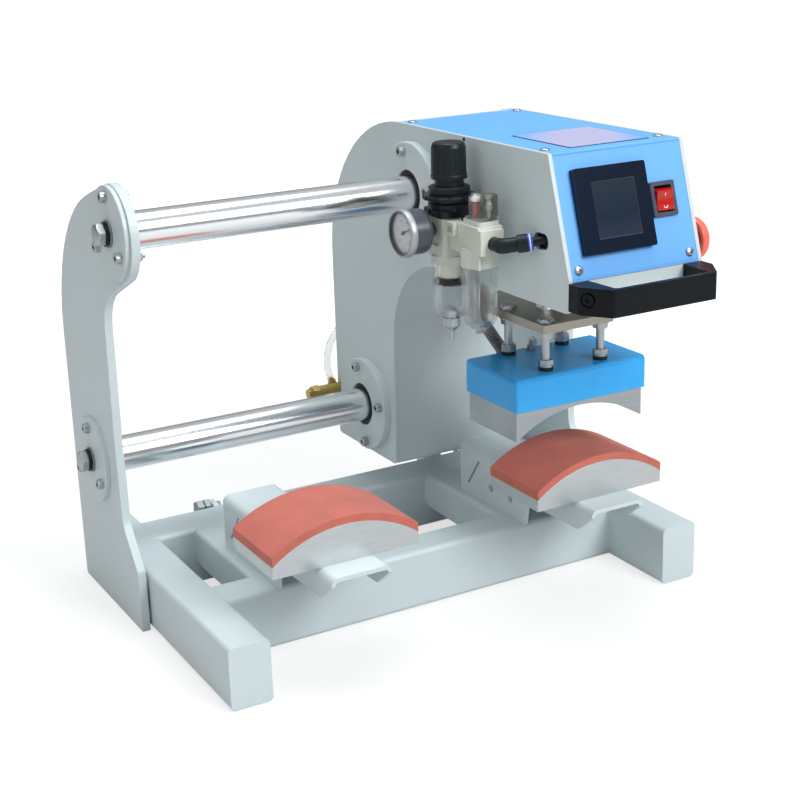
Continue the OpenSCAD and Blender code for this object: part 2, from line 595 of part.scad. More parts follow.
module lubricator_bowl() color("#d3dadc") translate([frl_x, lub_y, 0]) {
  rotate_extrude() polygon([[13.1, 360], [13.5, 360], [13.5, 355.2], [16.6, 355.2], [16.6, 342],
    [15.8, 340.5], [15.8, 310], [13.5, 303], [8, 298.4], [5.5, 297.6], [5.5, 294], [0, 294],
    [0, 299], [5, 300], [10.5, 304.6], [13.1, 311]]);
  rod_z(306, 361.8, 0, 4, 2.2);
}
// Sight feed dome and the guard round its needle screw, on one clear plate, with the oil plug
module sight_dome() color("#dfe5e6") {
  difference() {
    union() {
      translate([frl_x, lub_y - 1.5, 397.2]) linear_extrude(2) rrect(-8.5, -14, 12, 13.5, 5);
      translate([frl_x, lub_y + 4, 399]) rotate_extrude() polygon(concat([[0, 0], [6.8, 0]],
        [for (i = [0:6]) [3.8 + 3 * cos(15 * i), 15.6 + 5 * sin(15 * i)]], [[0, 20.6]]));
      translate([frl_x + 5.5, lub_y - 8.5, 399]) cylinder(r = 6.4, h = 22);
    }
    translate([frl_x + 5.5, lub_y - 8.5, 398.2]) cylinder(r = 5.2, h = 26);
  }
  translate([frl_x, lub_y + 19, 393.2]) cylinder(r = 5, h = 4.6);
}
module lubricator_screw() color("#b7b3a6") translate([frl_x + 5.5, lub_y - 8.5, 0]) difference() {
  rotate_extrude() polygon([[0, 398.5], [2.6, 398.5], [2.6, 405], [4.2, 406], [4.2, 411], [3.2, 412],
    [3.2, 415], [4.4, 416], [4.4, 419], [0, 419]]);
  translate([0, 0, 418.6]) cube([12, 1.2, 2], center = true);
}
module on_gauge() translate([frl_x - 3, frl_y + 2, port_z + 3]) rotate([0, -90, 0]) children();
module gauge_case() color("#3a3e44") on_gauge() difference() {
  union() {
    translate([0, 0, 14]) cylinder(r = 6, h = 9);
    translate([0, 0, 22]) rotate_extrude() polygon([[0, 0], [15, 0], [19.5, 3], [20.5, 6],
      [20.5, 20], [21.8, 20.5], [21.8, 25], [20.6, 26], [0, 26]]);
  }
  translate([0, 0, 43]) cylinder(r = 19, h = 8);
  translate([0, 0, 40]) cylinder(r = 1.25, h = 5);
}
module gauge_needle() color("#15171a") on_gauge() {
  translate([0, 0, 40.6]) cylinder(r = 1.2, h = 3.4);
  translate([0, 0, 44]) cylinder(r = 2, h = 0.8);
  rotate([0, 0, -66]) translate([-4, -0.5, 44]) cube([19, 1, 0.6]);
}
module outlet_elbow() color("#1f2226") {
  rod_y(lub_y - 33, lub_y - 18.5, frl_x, port_z, 6.1);
  // The elbow is turned up a little towards its slot in the head
  translate([frl_x, lub_y - 32, port_z]) rotate([0, -8.5, 0]) {
    translate([8, 0, 0]) rotate([0, 0, 180]) rotate_extrude(angle = 59)
      translate([8, 0]) circle(r = 6.8);
    translate([8 + 8 * cos(239), 8 * sin(239), 0]) rotate([0, 0, -31]) rotate([0, 90, 0]) {
      translate([0, 0, -0.8]) cylinder(r = 6.6, h = 11);
      translate([0, 0, 9]) cylinder(r = 8, h = 9);
      translate([0, 0, 12]) cylinder(r = 6.4, h = 9.5);
      // Air tube on into the head
      translate([0, 0, 14]) cylinder(r = 4, h = 34);
    }
  }
}
// Supply connection behind the column and its short air loop, held at both ends
module inlet_fitting() color("#b59a58") {
  rod_x(0, 5, 229, 148, 5.4);
  translate([5, 229, 148]) rotate([0, 90, 0]) hex(15, 8);
  rod_x(13, xl, 229, 148, 7);
  // Banjo that turns up to the loop
  rod_y(225, hose_y, 34.8, 148, 6.2);
  translate([hose_c[0], hose_y, hose_c[1]]) rotate([0, -23, 0]) translate([-hose_r, 0, 0]) {
    translate([0, 0, -8]) cylinder(r = 4.4, h = 7.9);
    translate([0, 0, -1]) cylinder(r = 2.3, h = 4);
  }
  // Elbow at the upper end of the loop
  rod_y(back_y - 6, hose_y, 96, hose_c[1] + hose_r, 4);
  rod_x(hose_c[0] + 1, 96, hose_y, hose_c[1] + hose_r, 4.4);
  rod_x(hose_c[0] - 3, hose_c[0] + 2, hose_y, hose_c[1] + hose_r, 2.3);
  translate([96, hose_y, hose_c[1] + hose_r]) sphere(r = 4.4);
  translate([96, back_y + 1, hose_c[1] + hose_r]) rotate([90, 0, 0]) hex(14, 1.5);
}
module inlet_hose() color("#e6e8e6") translate([hose_c[0], hose_y, hose_c[1]]) rotate([90, 0, 0])
  rotate([0, 0, 90]) rotate_extrude(angle = 113, $fn = 96) translate([hose_r, 0]) difference() {
    circle(r = 4, $fn = 24);
    circle(r = 2.6, $fn = 24);
  }

// Press: moves down with the piston rod
module piston_rod() color("#c3c8cc") difference() {
  union() {
    rod_z(399.5, 413.5, cx, cy + 2, 39.9);
    rod_z(295, 400, cx, cy + 2, 12.5);
    rod_z(293, 298, cx, cy + 2, 17);
    rod_z(286, 293, cx, cy + 2, 8.9);
  }
  translate([cx, cy + 2, 413.5]) ring(45, 37, 2);
  translate([cx, cy + 2, 405]) ring(45, 38.4, 3);
}
stud_at = [for (x = [-31, 31], y = [-31, 31]) [cx + x, cy + 2 + y]];
module press_plate() color("#a9a8a0") difference() {
  translate([0, 0, 285]) linear_extrude(press_plate_t) rrect(cx - 40, cy - 39, cx + 40, 14, 3);
  for (p = stud_at) rod_z(280, 300, p[0], p[1], 4.15);
  rod_z(280, 295, cx, cy + 2, 9);
}
module standoff_studs() color("#b9bdbf") for (p = stud_at) rod_z(222, 296.4, p[0], p[1], 4);
module stud_nuts() color("#c3c6c8") for (p = stud_at) for (z = [293, 278.4, 251.5])
  translate([p[0], p[1], z]) difference() {
    // Low nut on the plate, full nuts with a flange below it and on the cover
    if (z > 290) intersection() {
      rotate([0, 0, 20]) hex(14.4, 3.8);
      cylinder(r1 = 9.2, r2 = 7.2, h = 3.8);
    }
    else union() {
      intersection() {
        rotate([0, 0, z]) hex(13, 6.4);
        cylinder(r1 = 8, r2 = 7, h = 6.4);
      }
      translate([0, 0, z > 270 ? 5 : 0]) cylinder(r = z > 270 ? 8.4 : 7.4, h = 1.4);
    }
    translate([0, 0, -1]) cylinder(r = 4.05, h = 12);
  }
module stud_washers() color("#1b1d20") for (p = stud_at) translate([p[0], p[1], 247.5]) ring(6.9, 4.15, 3.9);
module heater_cover() color("#45a9ec") difference() {
  union() {
    translate([0, 0, 216.2]) linear_extrude(28.3) rrect(cx - 73.7, cy - 44.2, cx + 73.7, cy + 43.4, 2.5);
    translate([0, 0, 244.5]) linear_extrude(2) rrect(cx - 73.2, cy - 43.7, cx + 73.2, cy + 42.9, 2.2);
    translate([0, 0, 246.5]) linear_extrude(1) rrect(cx - 72.2, cy - 42.7, cx + 72.2, cy + 41.9, 2);
  }
  translate([0, 0, 210]) linear_extrude(35.7) rrect(cx - 71.9, cy - 42.4, cx + 71.9, cy + 41.6, 1.5);
  for (p = stud_at) rod_z(240, 250, p[0], p[1], 4.15);
  rod_y(-45, -35, 98, 234, 6.3);
}
// Cast heating block, hollowed to the crown of the lower platens, with its lagging board on top
module heat_block() color("#c4c4c6") difference() {
  union() {
    along_y(cy - block_d / 2, cy + block_d / 2) difference() {
      translate([cx - block_w / 2, 187]) square([block_w, 46]);
      translate([cx, 210.5 - block_r]) circle(r = block_r, $fn = 180);
    }
    translate([cx - 66, cy - 37, 233]) cube([132, 74, 6.5]);
  }
  for (p = stud_at) rod_z(222, 250, p[0], p[1], 4.05);
}
// Gland and flexible conduit of the heater leads, up into the head, with the earth screw
module heater_conduit() color("#55565a") {
  rod_y(-41.2, -30, 98, 234, 6);
  translate([98, -34, 234]) rotate([90, 0, 0]) hex(17, 4.3);
  rod_y(-36, -25, 98, 234, 7);
  translate([98, -25, 234]) {
    sphere(r = 7.8);
    rotate([0, 0, 199.12]) rotate([0, 40.18, 0]) {
      cylinder(r = 6, h = 61.5);
      cylinder(r = 7, h = 14);
    }
  }
  translate([60.5, -38, 281]) sphere(r = 6.8);
  rod_z(281, 395, 60.5, -38, 5.6);
  translate([cx - 4.5, -48, 247.5]) {
    cylinder(r = 4.5, h = 1);
    cylinder(r = 2, h = 9);
    hex(7, 4);
  }
}

feet();
rails();
cross_tubes();
left_end_plate();
right_end_plate();
shaft_end_caps();
end_cap_screws();
shaft_end_bolts();
guide_shafts();
platen_supports();
left_platen();
right_platen();
platen_screws();
left_pad();
right_pad();
stop_bolts();
carriage_left_plate();
carriage_right_plate();
rear_cover();
front_cover();
top_panel();
front_panel();
bushing_flanges();
linear_bushings();
bushing_screws();
panel_screws();
handle();
handle_screws();
controller_case();
rocker_frame();
rocker();
estop_base();
estop_stem();
estop_head();
air_cylinder();
cylinder_plate();
solenoid_valve();
frl_bracket();
filter_body();
regulator_bonnet();
regulator_knob();
filter_bowl();
drain_valve();
lubricator_body();
lubricator_bowl();
sight_dome();
lubricator_screw();
gauge_case();
gauge_needle();
outlet_elbow();
inlet_fitting();
inlet_hose();
piston_rod();
press_plate();
standoff_studs();
stud_nuts();
stud_washers();
heater_cover();
heat_block();
heater_conduit();
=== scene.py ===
"""Looks of a two-station pneumatic cap heat press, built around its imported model."""
import math

import bmesh
import bpy
from mathutils import Matrix, Vector


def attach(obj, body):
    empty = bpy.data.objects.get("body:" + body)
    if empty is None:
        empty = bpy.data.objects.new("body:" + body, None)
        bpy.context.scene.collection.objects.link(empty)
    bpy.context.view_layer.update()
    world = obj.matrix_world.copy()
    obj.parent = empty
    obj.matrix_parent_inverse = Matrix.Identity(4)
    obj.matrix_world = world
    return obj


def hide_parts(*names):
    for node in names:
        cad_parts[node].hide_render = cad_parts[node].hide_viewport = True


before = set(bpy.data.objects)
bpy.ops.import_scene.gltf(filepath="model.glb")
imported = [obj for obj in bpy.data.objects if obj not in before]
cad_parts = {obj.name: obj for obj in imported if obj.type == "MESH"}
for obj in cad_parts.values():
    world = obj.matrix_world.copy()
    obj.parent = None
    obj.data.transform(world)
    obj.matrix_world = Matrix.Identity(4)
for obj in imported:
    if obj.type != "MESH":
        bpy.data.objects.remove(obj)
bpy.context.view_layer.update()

bl_info = {
    "name": "Cap heat press",
    "version": (1, 0, 0),
    "blender": (4, 5, 0),
    "location": "3D View > Sidebar > Heat press",
    "description": "Dresses the packed cap heat press with its finishes and small parts",
    "category": "Object",
}

MM = 0.001


def linear(hex_colour):
    """Linear colour of an sRGB hex value such as #d5e3e6."""
    parts = [int(hex_colour[i:i + 2], 16) / 255 for i in (1, 3, 5)]
    return [c / 12.92 if c <= 0.04045 else ((c + 0.055) / 1.055) ** 2.4 for c in parts]


def rgba(colour):
    return (*colour[:3], 1.0)


def shade(colour, by):
    """The same colour, lighter above 1 and darker below."""
    return (*[min(1.0, c * by) for c in colour[:3]], 1.0)


class HeatPressColours(bpy.types.PropertyGroup):
    """Colours of the finishes."""
    frame_paint: bpy.props.FloatVectorProperty(
        name="Frame paint", description="Powder coat of the base, end plates and carriage",
        subtype="COLOR", min=0, max=1, default=linear("#d2dee0"))
    panel_paint: bpy.props.FloatVectorProperty(
        name="Panel paint", description="Powder coat of the top and front panels",
        subtype="COLOR", min=0, max=1, default=linear("#6cb4fb"))
    cover_enamel: bpy.props.FloatVectorProperty(
        name="Heater cover enamel", description="Stove enamel on the heater cover",
        subtype="COLOR", min=0, max=1, default=linear("#2eaaf2"))
    silicone: bpy.props.FloatVectorProperty(
        name="Silicone", description="Silicone rubber of the pads",
        subtype="COLOR", min=0, max=1, default=linear("#c86b5b"))
    signal_red: bpy.props.FloatVectorProperty(
        name="Signal red", description="Rocker of the power switch",
        subtype="COLOR", min=0, max=1, default=linear("#c01a10"))
    # The mushroom head is red; its lighter, pinker tone than the rocker's red is a painted highlight
    stop_red: bpy.props.FloatVectorProperty(
        name="Stop red", description="Mushroom head of the stop button",
        subtype="COLOR", min=0, max=1, default=linear("#fc725f"))
    cream: bpy.props.FloatVectorProperty(
        name="Air set cream", description="Enamel of the air preparation bodies",
        subtype="COLOR", min=0, max=1, default=linear("#d3d7cb"))


class HeatPressSizes(bpy.types.PropertyGroup):
    """Sizes of the small parts that are added to the model."""
    edge_round: bpy.props.FloatProperty(
        name="Edge rounding", description="Radius that breaks the sharp edges of sheet and plate",
        unit="LENGTH", min=0.0001, max=0.002, default=0.0007)
    weld_width: bpy.props.FloatProperty(
        name="Weld width", description="Width of the weld beads on the base",
        unit="LENGTH", min=0.002, max=0.01, default=0.006)
    dial_radius: bpy.props.FloatProperty(
        name="Dial radius", description="Radius of the printed dial of the gauge",
        unit="LENGTH", min=0.01, max=0.02, default=0.0188)


# Materials

LOOKS = {}


def add(tree, kind, inputs=None, **settings):
    """Adds a node, with its settings, and its inputs as values or as sockets to link."""
    made = tree.nodes.new(kind)
    for name, value in settings.items():
        setattr(made, name, value)
    for name, value in (inputs or {}).items():
        if isinstance(value, bpy.types.NodeSocket):
            tree.links.new(value, made.inputs[name])
        else:
            made.inputs[name].default_value = value
    return made


def blank(name):
    """A new material with only its output; returns the material and its tree."""
    look = bpy.data.materials.new(name)
    look.use_nodes = True
    look.node_tree.nodes.clear()
    LOOKS[name] = look
    return look, look.node_tree


def output(tree, surface):
    add(tree, "ShaderNodeOutputMaterial", {"Surface": surface})


def broken_edge(tree, radius, height=None, depth=0.0):
    """Normal that rounds sharp edges to a radius and adds a relief of the given depth."""
    edge = add(tree, "ShaderNodeBevel", {"Radius": radius}, samples=4)
    if height is None:
        return edge.outputs["Normal"]
    return add(tree, "ShaderNodeBump", {
        "Height": height, "Distance": depth, "Strength": 1.0, "Normal": edge.outputs["Normal"],
    }).outputs["Normal"]


def grain(tree, size, detail=2.0, stretch=(1, 1, 1)):
    """Noise whose features are about size metres across, drawn out along an axis by stretch."""
    place = add(tree, "ShaderNodeTexCoord").outputs["Object"]
    spread = add(tree, "ShaderNodeMapping", {"Vector": place, "Scale": stretch}).outputs["Vector"]
    return add(tree, "ShaderNodeTexNoise", {
        "Vector": spread, "Scale": 0.5 / size, "Detail": detail, "Roughness": 0.55}).outputs["Fac"]


def between(tree, factor, low, high, start=0.3, end=0.7):
    """Colour that runs from low to high as the factor goes from start to end."""
    ramp = add(tree, "ShaderNodeValToRGB", {"Fac": factor})
    ramp.color_ramp.elements[0].position, ramp.color_ramp.elements[0].color = start, low
    ramp.color_ramp.elements[1].position, ramp.color_ramp.elements[1].color = end, high
    return ramp.outputs["Color"]


def span(tree, factor, low, high):
    """Number that runs from low to high as the factor goes from 0.3 to 0.7."""
    return add(tree, "ShaderNodeMapRange", {
        "Value": factor, "From Min": 0.3, "From Max": 0.7, "To Min": low, "To Max": high,
    }).outputs["Result"]


def steps_between(tree, factor, *stops):
    """Colour that runs through (place, colour) stops as the factor goes from 0 to 1."""
    ramp = add(tree, "ShaderNodeValToRGB", {"Fac": factor})
    points = ramp.color_ramp.elements
    points[0].position, points[0].color = stops[0]
    points[1].position, points[1].color = stops[-1]
    for place, colour in stops[1:-1]:
        points.new(place).color = colour
    return ramp.outputs["Color"]


def powder_coat(name, colour, edge, rough=0.36):
    # Thermoset powder sprayed and baked on steel: even colour, soft gloss, faint orange peel
    look, tree = blank(name)
    cloud = grain(tree, 0.06, 3)
    peel = grain(tree, 0.0012, 1)
    skin = add(tree, "ShaderNodeBsdfPrincipled", {
        "Base Color": between(tree, cloud, shade(colour, 0.965), shade(colour, 1.02)),
        "Roughness": span(tree, cloud, rough - 0.03, rough + 0.05),
        "IOR": 1.5,
        "Normal": broken_edge(tree, edge, peel, 0.00002)})
    output(tree, skin.outputs["BSDF"])
    return look


def ground_chrome(name):
    # Induction hardened bar, centreless ground and hard chromed: mirror with fine turned lines
    look, tree = blank(name)
    rings = grain(tree, 0.0006, 3, (6, 0.25, 0.25))
    skin = add(tree, "ShaderNodeBsdfPrincipled", {
        "Base Color": rgba(linear("#f8f9fb")), "Metallic": 1.0,
        "Roughness": span(tree, rings, 0.19, 0.21),
        "Normal": broken_edge(tree, 0.0003)})
    output(tree, skin.outputs["BSDF"])
    return look


def plated_steel(name, colour, rough=0.26, metal=1.0):
    # Rolled or turned steel with bright zinc plate: silvery, slightly clouded, soft edges
    look, tree = blank(name)
    cloud = grain(tree, 0.004, 3)
    skin = add(tree, "ShaderNodeBsdfPrincipled", {
        "Base Color": between(tree, cloud, shade(colour, 0.94), shade(colour, 1.03)),
        "Metallic": metal,
        "Roughness": span(tree, cloud, rough - 0.02, rough + 0.04),
        "Normal": broken_edge(tree, 0.0004, cloud, 0.000002)})
    output(tree, skin.outputs["BSDF"])
    return look


def milled_aluminium(name, colour, rough=0.38):
    # Cast plate, face milled: pale grey metal with fine straight cutter lines
    look, tree = blank(name)
    lines = grain(tree, 0.0011, 3, (0.08, 1, 1))
    cloud = grain(tree, 0.02, 2)
    skin = add(tree, "ShaderNodeBsdfPrincipled", {
        "Base Color": between(tree, lines, shade(colour, 0.93), shade(colour, 1.03)),
        "Metallic": 1.0,
        "Roughness": span(tree, cloud, rough - 0.05, rough + 0.07),
        "Normal": broken_edge(tree, 0.0004, lines, 0.00002)})
    output(tree, skin.outputs["BSDF"])
    return look


def silicone_rubber(name, colour):
    # Pressed silicone rubber sheet, cut by hand: matt, powdery, with small pores
    look, tree = blank(name)
    cloud = grain(tree, 0.018, 4)
    pores = grain(tree, 0.0009, 2)
    skin = add(tree, "ShaderNodeBsdfPrincipled", {
        "Base Color": between(tree, cloud, shade(colour, 0.9), shade(colour, 1.12)),
        "Roughness": 0.78, "IOR": 1.41,
        "Sheen Weight": 0.12, "Sheen Roughness": 0.6,
        "Normal": broken_edge(tree, 0.0009, pores, 0.00012)})
    output(tree, skin.outputs["BSDF"])
    return look


def moulded_plastic(name, colour, rough, texture=0.0004, depth=0.00001, gloss=0.5):
    # Injection moulded nylon or ABS: even colour, the mould's spark-eroded texture where matt
    look, tree = blank(name)
    spark = grain(tree, texture, 2)
    skin = add(tree, "ShaderNodeBsdfPrincipled", {
        "Base Color": rgba(colour), "IOR": 1.53, "Specular IOR Level": gloss,
        "Roughness": span(tree, spark, rough - 0.03, rough + 0.05),
        "Normal": broken_edge(tree, 0.0004, spark, depth)})
    output(tree, skin.outputs["BSDF"])
    return look


CONDUIT_PITCH, CONDUIT_ALONG = 0.0036, (-0.61, -0.211, 0.764)


def ribbed_conduit(name, colour):
    # Flexible conduit: strip wound into a spiral of 3.6 mm pitch, with painted shade darkening its
    # grooves
    look, tree = blank(name)
    along = add(tree, "ShaderNodeVectorMath", {
        0: add(tree, "ShaderNodeTexCoord").outputs["Object"], 1: CONDUIT_ALONG},
        operation="DOT_PRODUCT").outputs["Value"]
    turns = add(tree, "ShaderNodeMath", {0: along, 1: math.tau / CONDUIT_PITCH}, operation="MULTIPLY")
    wave = add(tree, "ShaderNodeMath", {0: turns.outputs[0]}, operation="SINE").outputs[0]
    rise = add(tree, "ShaderNodeMapRange", {"Value": wave, "From Min": -1.0}).outputs["Result"]
    skin = add(tree, "ShaderNodeBsdfPrincipled", {
        # Base colour falls to 0.55 in the grooves: painted shade
        "Base Color": between(tree, rise, shade(colour, 0.55), rgba(colour), 0, 0.5),
        "Roughness": 0.5, "Metallic": 0.3,
        "Normal": broken_edge(tree, 0.0004, rise, 0.0005)})
    output(tree, skin.outputs["BSDF"])
    return look


def clear_plastic(name, colour, body=0.4, rough=0.04, ior=1.3):
    # Polycarbonate or polyurethane, moulded or drawn clear: a thin wall that sees through
    # almost straight, with a faint tint, soft lights and a little more body at its edges
    look, tree = blank(name)
    skin = add(tree, "ShaderNodeBsdfPrincipled", {
        "Base Color": rgba(colour), "Roughness": rough, "IOR": ior, "Transmission Weight": 1.0})
    clear = add(tree, "ShaderNodeBsdfTransparent", {"Color": rgba(colour)})
    wall = add(tree, "ShaderNodeMixShader", {
        0: body, 1: clear.outputs[0], 2: skin.outputs["BSDF"]})
    output(tree, wall.outputs[0])
    return look


def enamel(name, colour, rough=0.22, edge=0.0006):
    # Stoved enamel on pressed sheet or die casting: glossy, deep colour, very slight waviness
    look, tree = blank(name)
    wave = grain(tree, 0.012, 1)
    skin = add(tree, "ShaderNodeBsdfPrincipled", {
        "Base Color": between(tree, wave, shade(colour, 0.97), shade(colour, 1.03)),
        "Roughness": rough, "IOR": 1.5,
        "Normal": broken_edge(tree, edge, wave, 0.00003)})
    output(tree, skin.outputs["BSDF"])
    return look


def display_glass(name):
    # Unlit display behind hardened glass: slate blue, hard gloss; lighter towards the foot and in soft
    # patches, which is painted reflection
    look, tree = blank(name)
    height = add(tree, "ShaderNodeSeparateXYZ", {
        "Vector": add(tree, "ShaderNodeTexCoord").outputs["Generated"]}).outputs["Z"]
    cloud = grain(tree, 0.02, 2)
    # Height plus noise patches sets the painted reflection on the glass
    painted_reflection = add(tree, "ShaderNodeMath", {0: height, 1: add(tree, "ShaderNodeMath", {
        0: cloud, 1: 0.25}, operation="MULTIPLY").outputs[0]}, operation="ADD").outputs[0]
    skin = add(tree, "ShaderNodeBsdfPrincipled", {
        "Base Color": steps_between(
            tree, painted_reflection, (0.05, rgba(linear("#25323f"))), (0.5, rgba(linear("#122338"))),
            (1.0, rgba(linear("#1c2a39")))),
        "Roughness": 0.2, "IOR": 1.52, "Specular IOR Level": 0.35})
    output(tree, skin.outputs["BSDF"])
    return look


def satin_foil(name, edge_blue):
    # Blank foil plate, satin printed: lilac in the middle, running out to the panel's blue
    look, tree = blank(name)
    brush = grain(tree, 0.0012, 3, (0.06, 1, 1))
    place = add(tree, "ShaderNodeSeparateXYZ", {
        "Vector": add(tree, "ShaderNodeTexCoord").outputs["Generated"]}).outputs
    slant = add(tree, "ShaderNodeMath", {0: place["X"], 1: place["Y"]}, operation="SUBTRACT").outputs[0]
    along = add(tree, "ShaderNodeMapRange", {"Value": slant, "From Min": -1.0}).outputs["Result"]
    lilac = rgba(linear("#b9b8da"))
    skin = add(tree, "ShaderNodeBsdfPrincipled", {
        "Base Color": steps_between(tree, along, (0.02, edge_blue), (0.3, lilac), (0.72, lilac),
                                    (0.98, edge_blue)),
        "Roughness": span(tree, brush, 0.4, 0.5),
        "Normal": broken_edge(tree, 0.0002, brush, 0.000003)})
    output(tree, skin.outputs["BSDF"])
    return look


def make_materials(colours, sizes):
    edge = sizes.edge_round
    powder_coat("frame_powder_coat", colours.frame_paint, edge)
    powder_coat("plate_powder_coat", colours.frame_paint, edge, 0.4)
    powder_coat("panel_powder_coat", colours.panel_paint, edge, 0.5)
    enamel("heater_cover_enamel", colours.cover_enamel, 0.28, 0.0012)
    enamel("air_set_enamel", colours.cream, 0.35, 0.0008)
    enamel("gauge_case_enamel", linear("#464b54"), 0.3)
    ground_chrome("shaft_hard_chrome")
    plated_steel("zinc_plated_steel", linear("#bcc0c2"), 0.36)
    # Darker copy of the zinc plate: on the stop bolts its darkness is painted shade from the carriage
    # above
    plated_steel("satin_plated_steel", linear("#94989a"), 0.42)
    plated_steel("satin_chromed_rim", linear("#b2b7bb"), 0.45, 0.8)
    plated_steel("blackened_steel", linear("#3a3d41"), 0.38)
    plated_steel("rolled_steel_plate", linear("#b8b1a5"), 0.45)
    plated_steel("turned_brass", linear("#c9ad66"), 0.3)
    milled_aluminium("platen_milled_aluminium", linear("#d0d3d4"))
    milled_aluminium("block_milled_aluminium", linear("#b0b5b8"), 0.34)
    milled_aluminium("cylinder_anodised_aluminium", linear("#b4bac0"), 0.45)
    silicone_rubber("pad_silicone_rubber", colours.silicone)
    moulded_plastic("black_moulded_nylon", linear("#111a20"), 0.38, gloss=0.3)
    moulded_plastic("handle_nylon", linear("#080e13"), 0.4, gloss=0.18)
    moulded_plastic("black_gloss_abs", linear("#0a182c"), 0.14, 0.002, 0.000002, 0.3)
    moulded_plastic("grey_moulded_abs", linear("#444859"), 0.4, gloss=0.35)
    moulded_plastic("red_moulded_abs", colours.signal_red, 0.2, 0.002, 0.000002)
    # Stop red carries a painted highlight in its colour
    moulded_plastic("red_stop_abs", colours.stop_red, 0.3, 0.002, 0.000002)
    moulded_plastic("fibre_washer", linear("#191b1e"), 0.6)
    ribbed_conduit("conduit_sleeve", linear("#989289"))
    moulded_plastic("white_print", linear("#f2f2ee"), 0.5)
    moulded_plastic("red_moulded_nylon", linear("#b04a44"), 0.35)
    moulded_plastic("blue_moulded_acetal", linear("#2f4fd0"), 0.3)
    moulded_plastic("dial_enamel", linear("#d0d4d8"), 0.4)
    moulded_plastic("dial_ink", linear("#23262b"), 0.5)
    moulded_plastic("sintered_element", linear("#d9d8cf"), 0.7, 0.0008, 0.00005)
    clear_plastic("clear_polycarbonate", linear("#f9fafa"), 0.32)
    clear_plastic("dome_polycarbonate", linear("#f1f3f3"), 0.7, 0.03, 1.45)
    clear_plastic("smoky_polycarbonate", linear("#e4e5df"), 0.5, 0.05)
    clear_plastic("clear_lens", linear("#fafafa"), 0.3, 0.02)
    clear_plastic("clear_hose", linear("#eceeec"), 0.8, 0.2)
    display_glass("display_glass")
    satin_foil("satin_foil", rgba(colours.panel_paint))


CAD_FINISH = {
    "frame_powder_coat": ["feet", "rails", "cross_tubes", "platen_supports"],
    "plate_powder_coat": ["left_end_plate", "right_end_plate", "carriage_left_plate",
                          "carriage_right_plate", "rear_cover", "front_cover",
                          "bushing_flanges", "shaft_end_caps"],
    "panel_powder_coat": ["top_panel", "front_panel"],
    "heater_cover_enamel": ["heater_cover"],
    "air_set_enamel": ["filter_body", "lubricator_body"],
    "gauge_case_enamel": ["gauge_case"],
    "shaft_hard_chrome": ["guide_shafts", "piston_rod"],
    "zinc_plated_steel": ["end_cap_screws", "shaft_end_bolts", "bushing_screws", "panel_screws",
                          "platen_screws", "estop_stem", "standoff_studs", "stud_nuts",
                          "drain_valve", "lubricator_screw"],
    # Stop bolts take the darker copy as painted shade
    "satin_plated_steel": ["stop_bolts"],
    "blackened_steel": ["handle_screws", "linear_bushings"],
    "rolled_steel_plate": ["press_plate", "cylinder_plate"],
    "turned_brass": ["inlet_fitting"],
    "platen_milled_aluminium": ["left_platen", "right_platen"],
    "block_milled_aluminium": ["heat_block"],
    "cylinder_anodised_aluminium": ["air_cylinder"],
    "pad_silicone_rubber": ["left_pad", "right_pad"],
    "handle_nylon": ["handle"],
    "black_moulded_nylon": ["estop_base", "solenoid_valve", "frl_bracket",
                            "regulator_bonnet", "regulator_knob", "outlet_elbow",
                            "gauge_needle"],
    "black_gloss_abs": ["controller_case"],
    "grey_moulded_abs": ["rocker_frame"],
    "red_moulded_abs": ["rocker"],
    "red_stop_abs": ["estop_head"],
    "fibre_washer": ["stud_washers"],
    "conduit_sleeve": ["heater_conduit"],
    "clear_polycarbonate": ["filter_bowl", "lubricator_bowl", "sight_dome"],
    "clear_hose": ["inlet_hose"],
}


def dress(*finishes):
    """Gives the CAD nodes of these finishes their material."""
    for finish in finishes:
        for name in CAD_FINISH[finish]:
            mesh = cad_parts[name].data
            mesh.materials.clear()
            mesh.materials.append(LOOKS[finish])


# Forms. They are drawn in millimetres, and piece() brings them to metres

HERE = Matrix()


def moved(x=0, y=0, z=0):
    return Matrix.Translation((x, y, z))


def turned(degrees, axis):
    return Matrix.Rotation(math.radians(degrees), 4, axis)


def spun(bm, outline, place=HERE, steps=64):
    """Turned form: closed outline of (radius, height) points spun about the local z axis."""
    rows = []
    for radius, height in outline:
        count = 1 if radius < 1e-6 else steps
        rows.append([bm.verts.new(place @ Vector((
            radius * math.cos(math.tau * i / steps), radius * math.sin(math.tau * i / steps),
            height))) for i in range(count)])
    for low, high in zip(rows, rows[1:] + rows[:1]):
        if len(low) == len(high) == 1:
            continue
        for i in range(steps):
            ring = [low[i % len(low)], low[(i + 1) % steps % len(low)],
                    high[(i + 1) % steps % len(high)], high[i % len(high)]]
            bm.faces.new(list(dict.fromkeys(ring)))


def drawn(bm, outline, low, high, place=HERE):
    """Straight form: closed outline of (x, y) points drawn along the local z axis."""
    rows = [[bm.verts.new(place @ Vector((x, y, z))) for x, y in outline] for z in (low, high)]
    bm.faces.new(rows[0][::-1])
    bm.faces.new(rows[1])
    for i, corner in enumerate(rows[0]):
        after = (i + 1) % len(outline)
        bm.faces.new((corner, rows[0][after], rows[1][after], rows[1][i]))


def framed(bm, outer, inner, low, high, place=HERE):
    """Straight frame between two closed outlines that have the same number of points."""
    rows = [[bm.verts.new(place @ Vector((x, y, z))) for x, y in outline]
            for outline, z in ((outer, low), (outer, high), (inner, high), (inner, low))]
    for row, after in zip(rows, rows[1:] + rows[:1]):
        for i in range(len(outer)):
            j = (i + 1) % len(outer)
            bm.faces.new((row[i], row[j], after[j], after[i]))


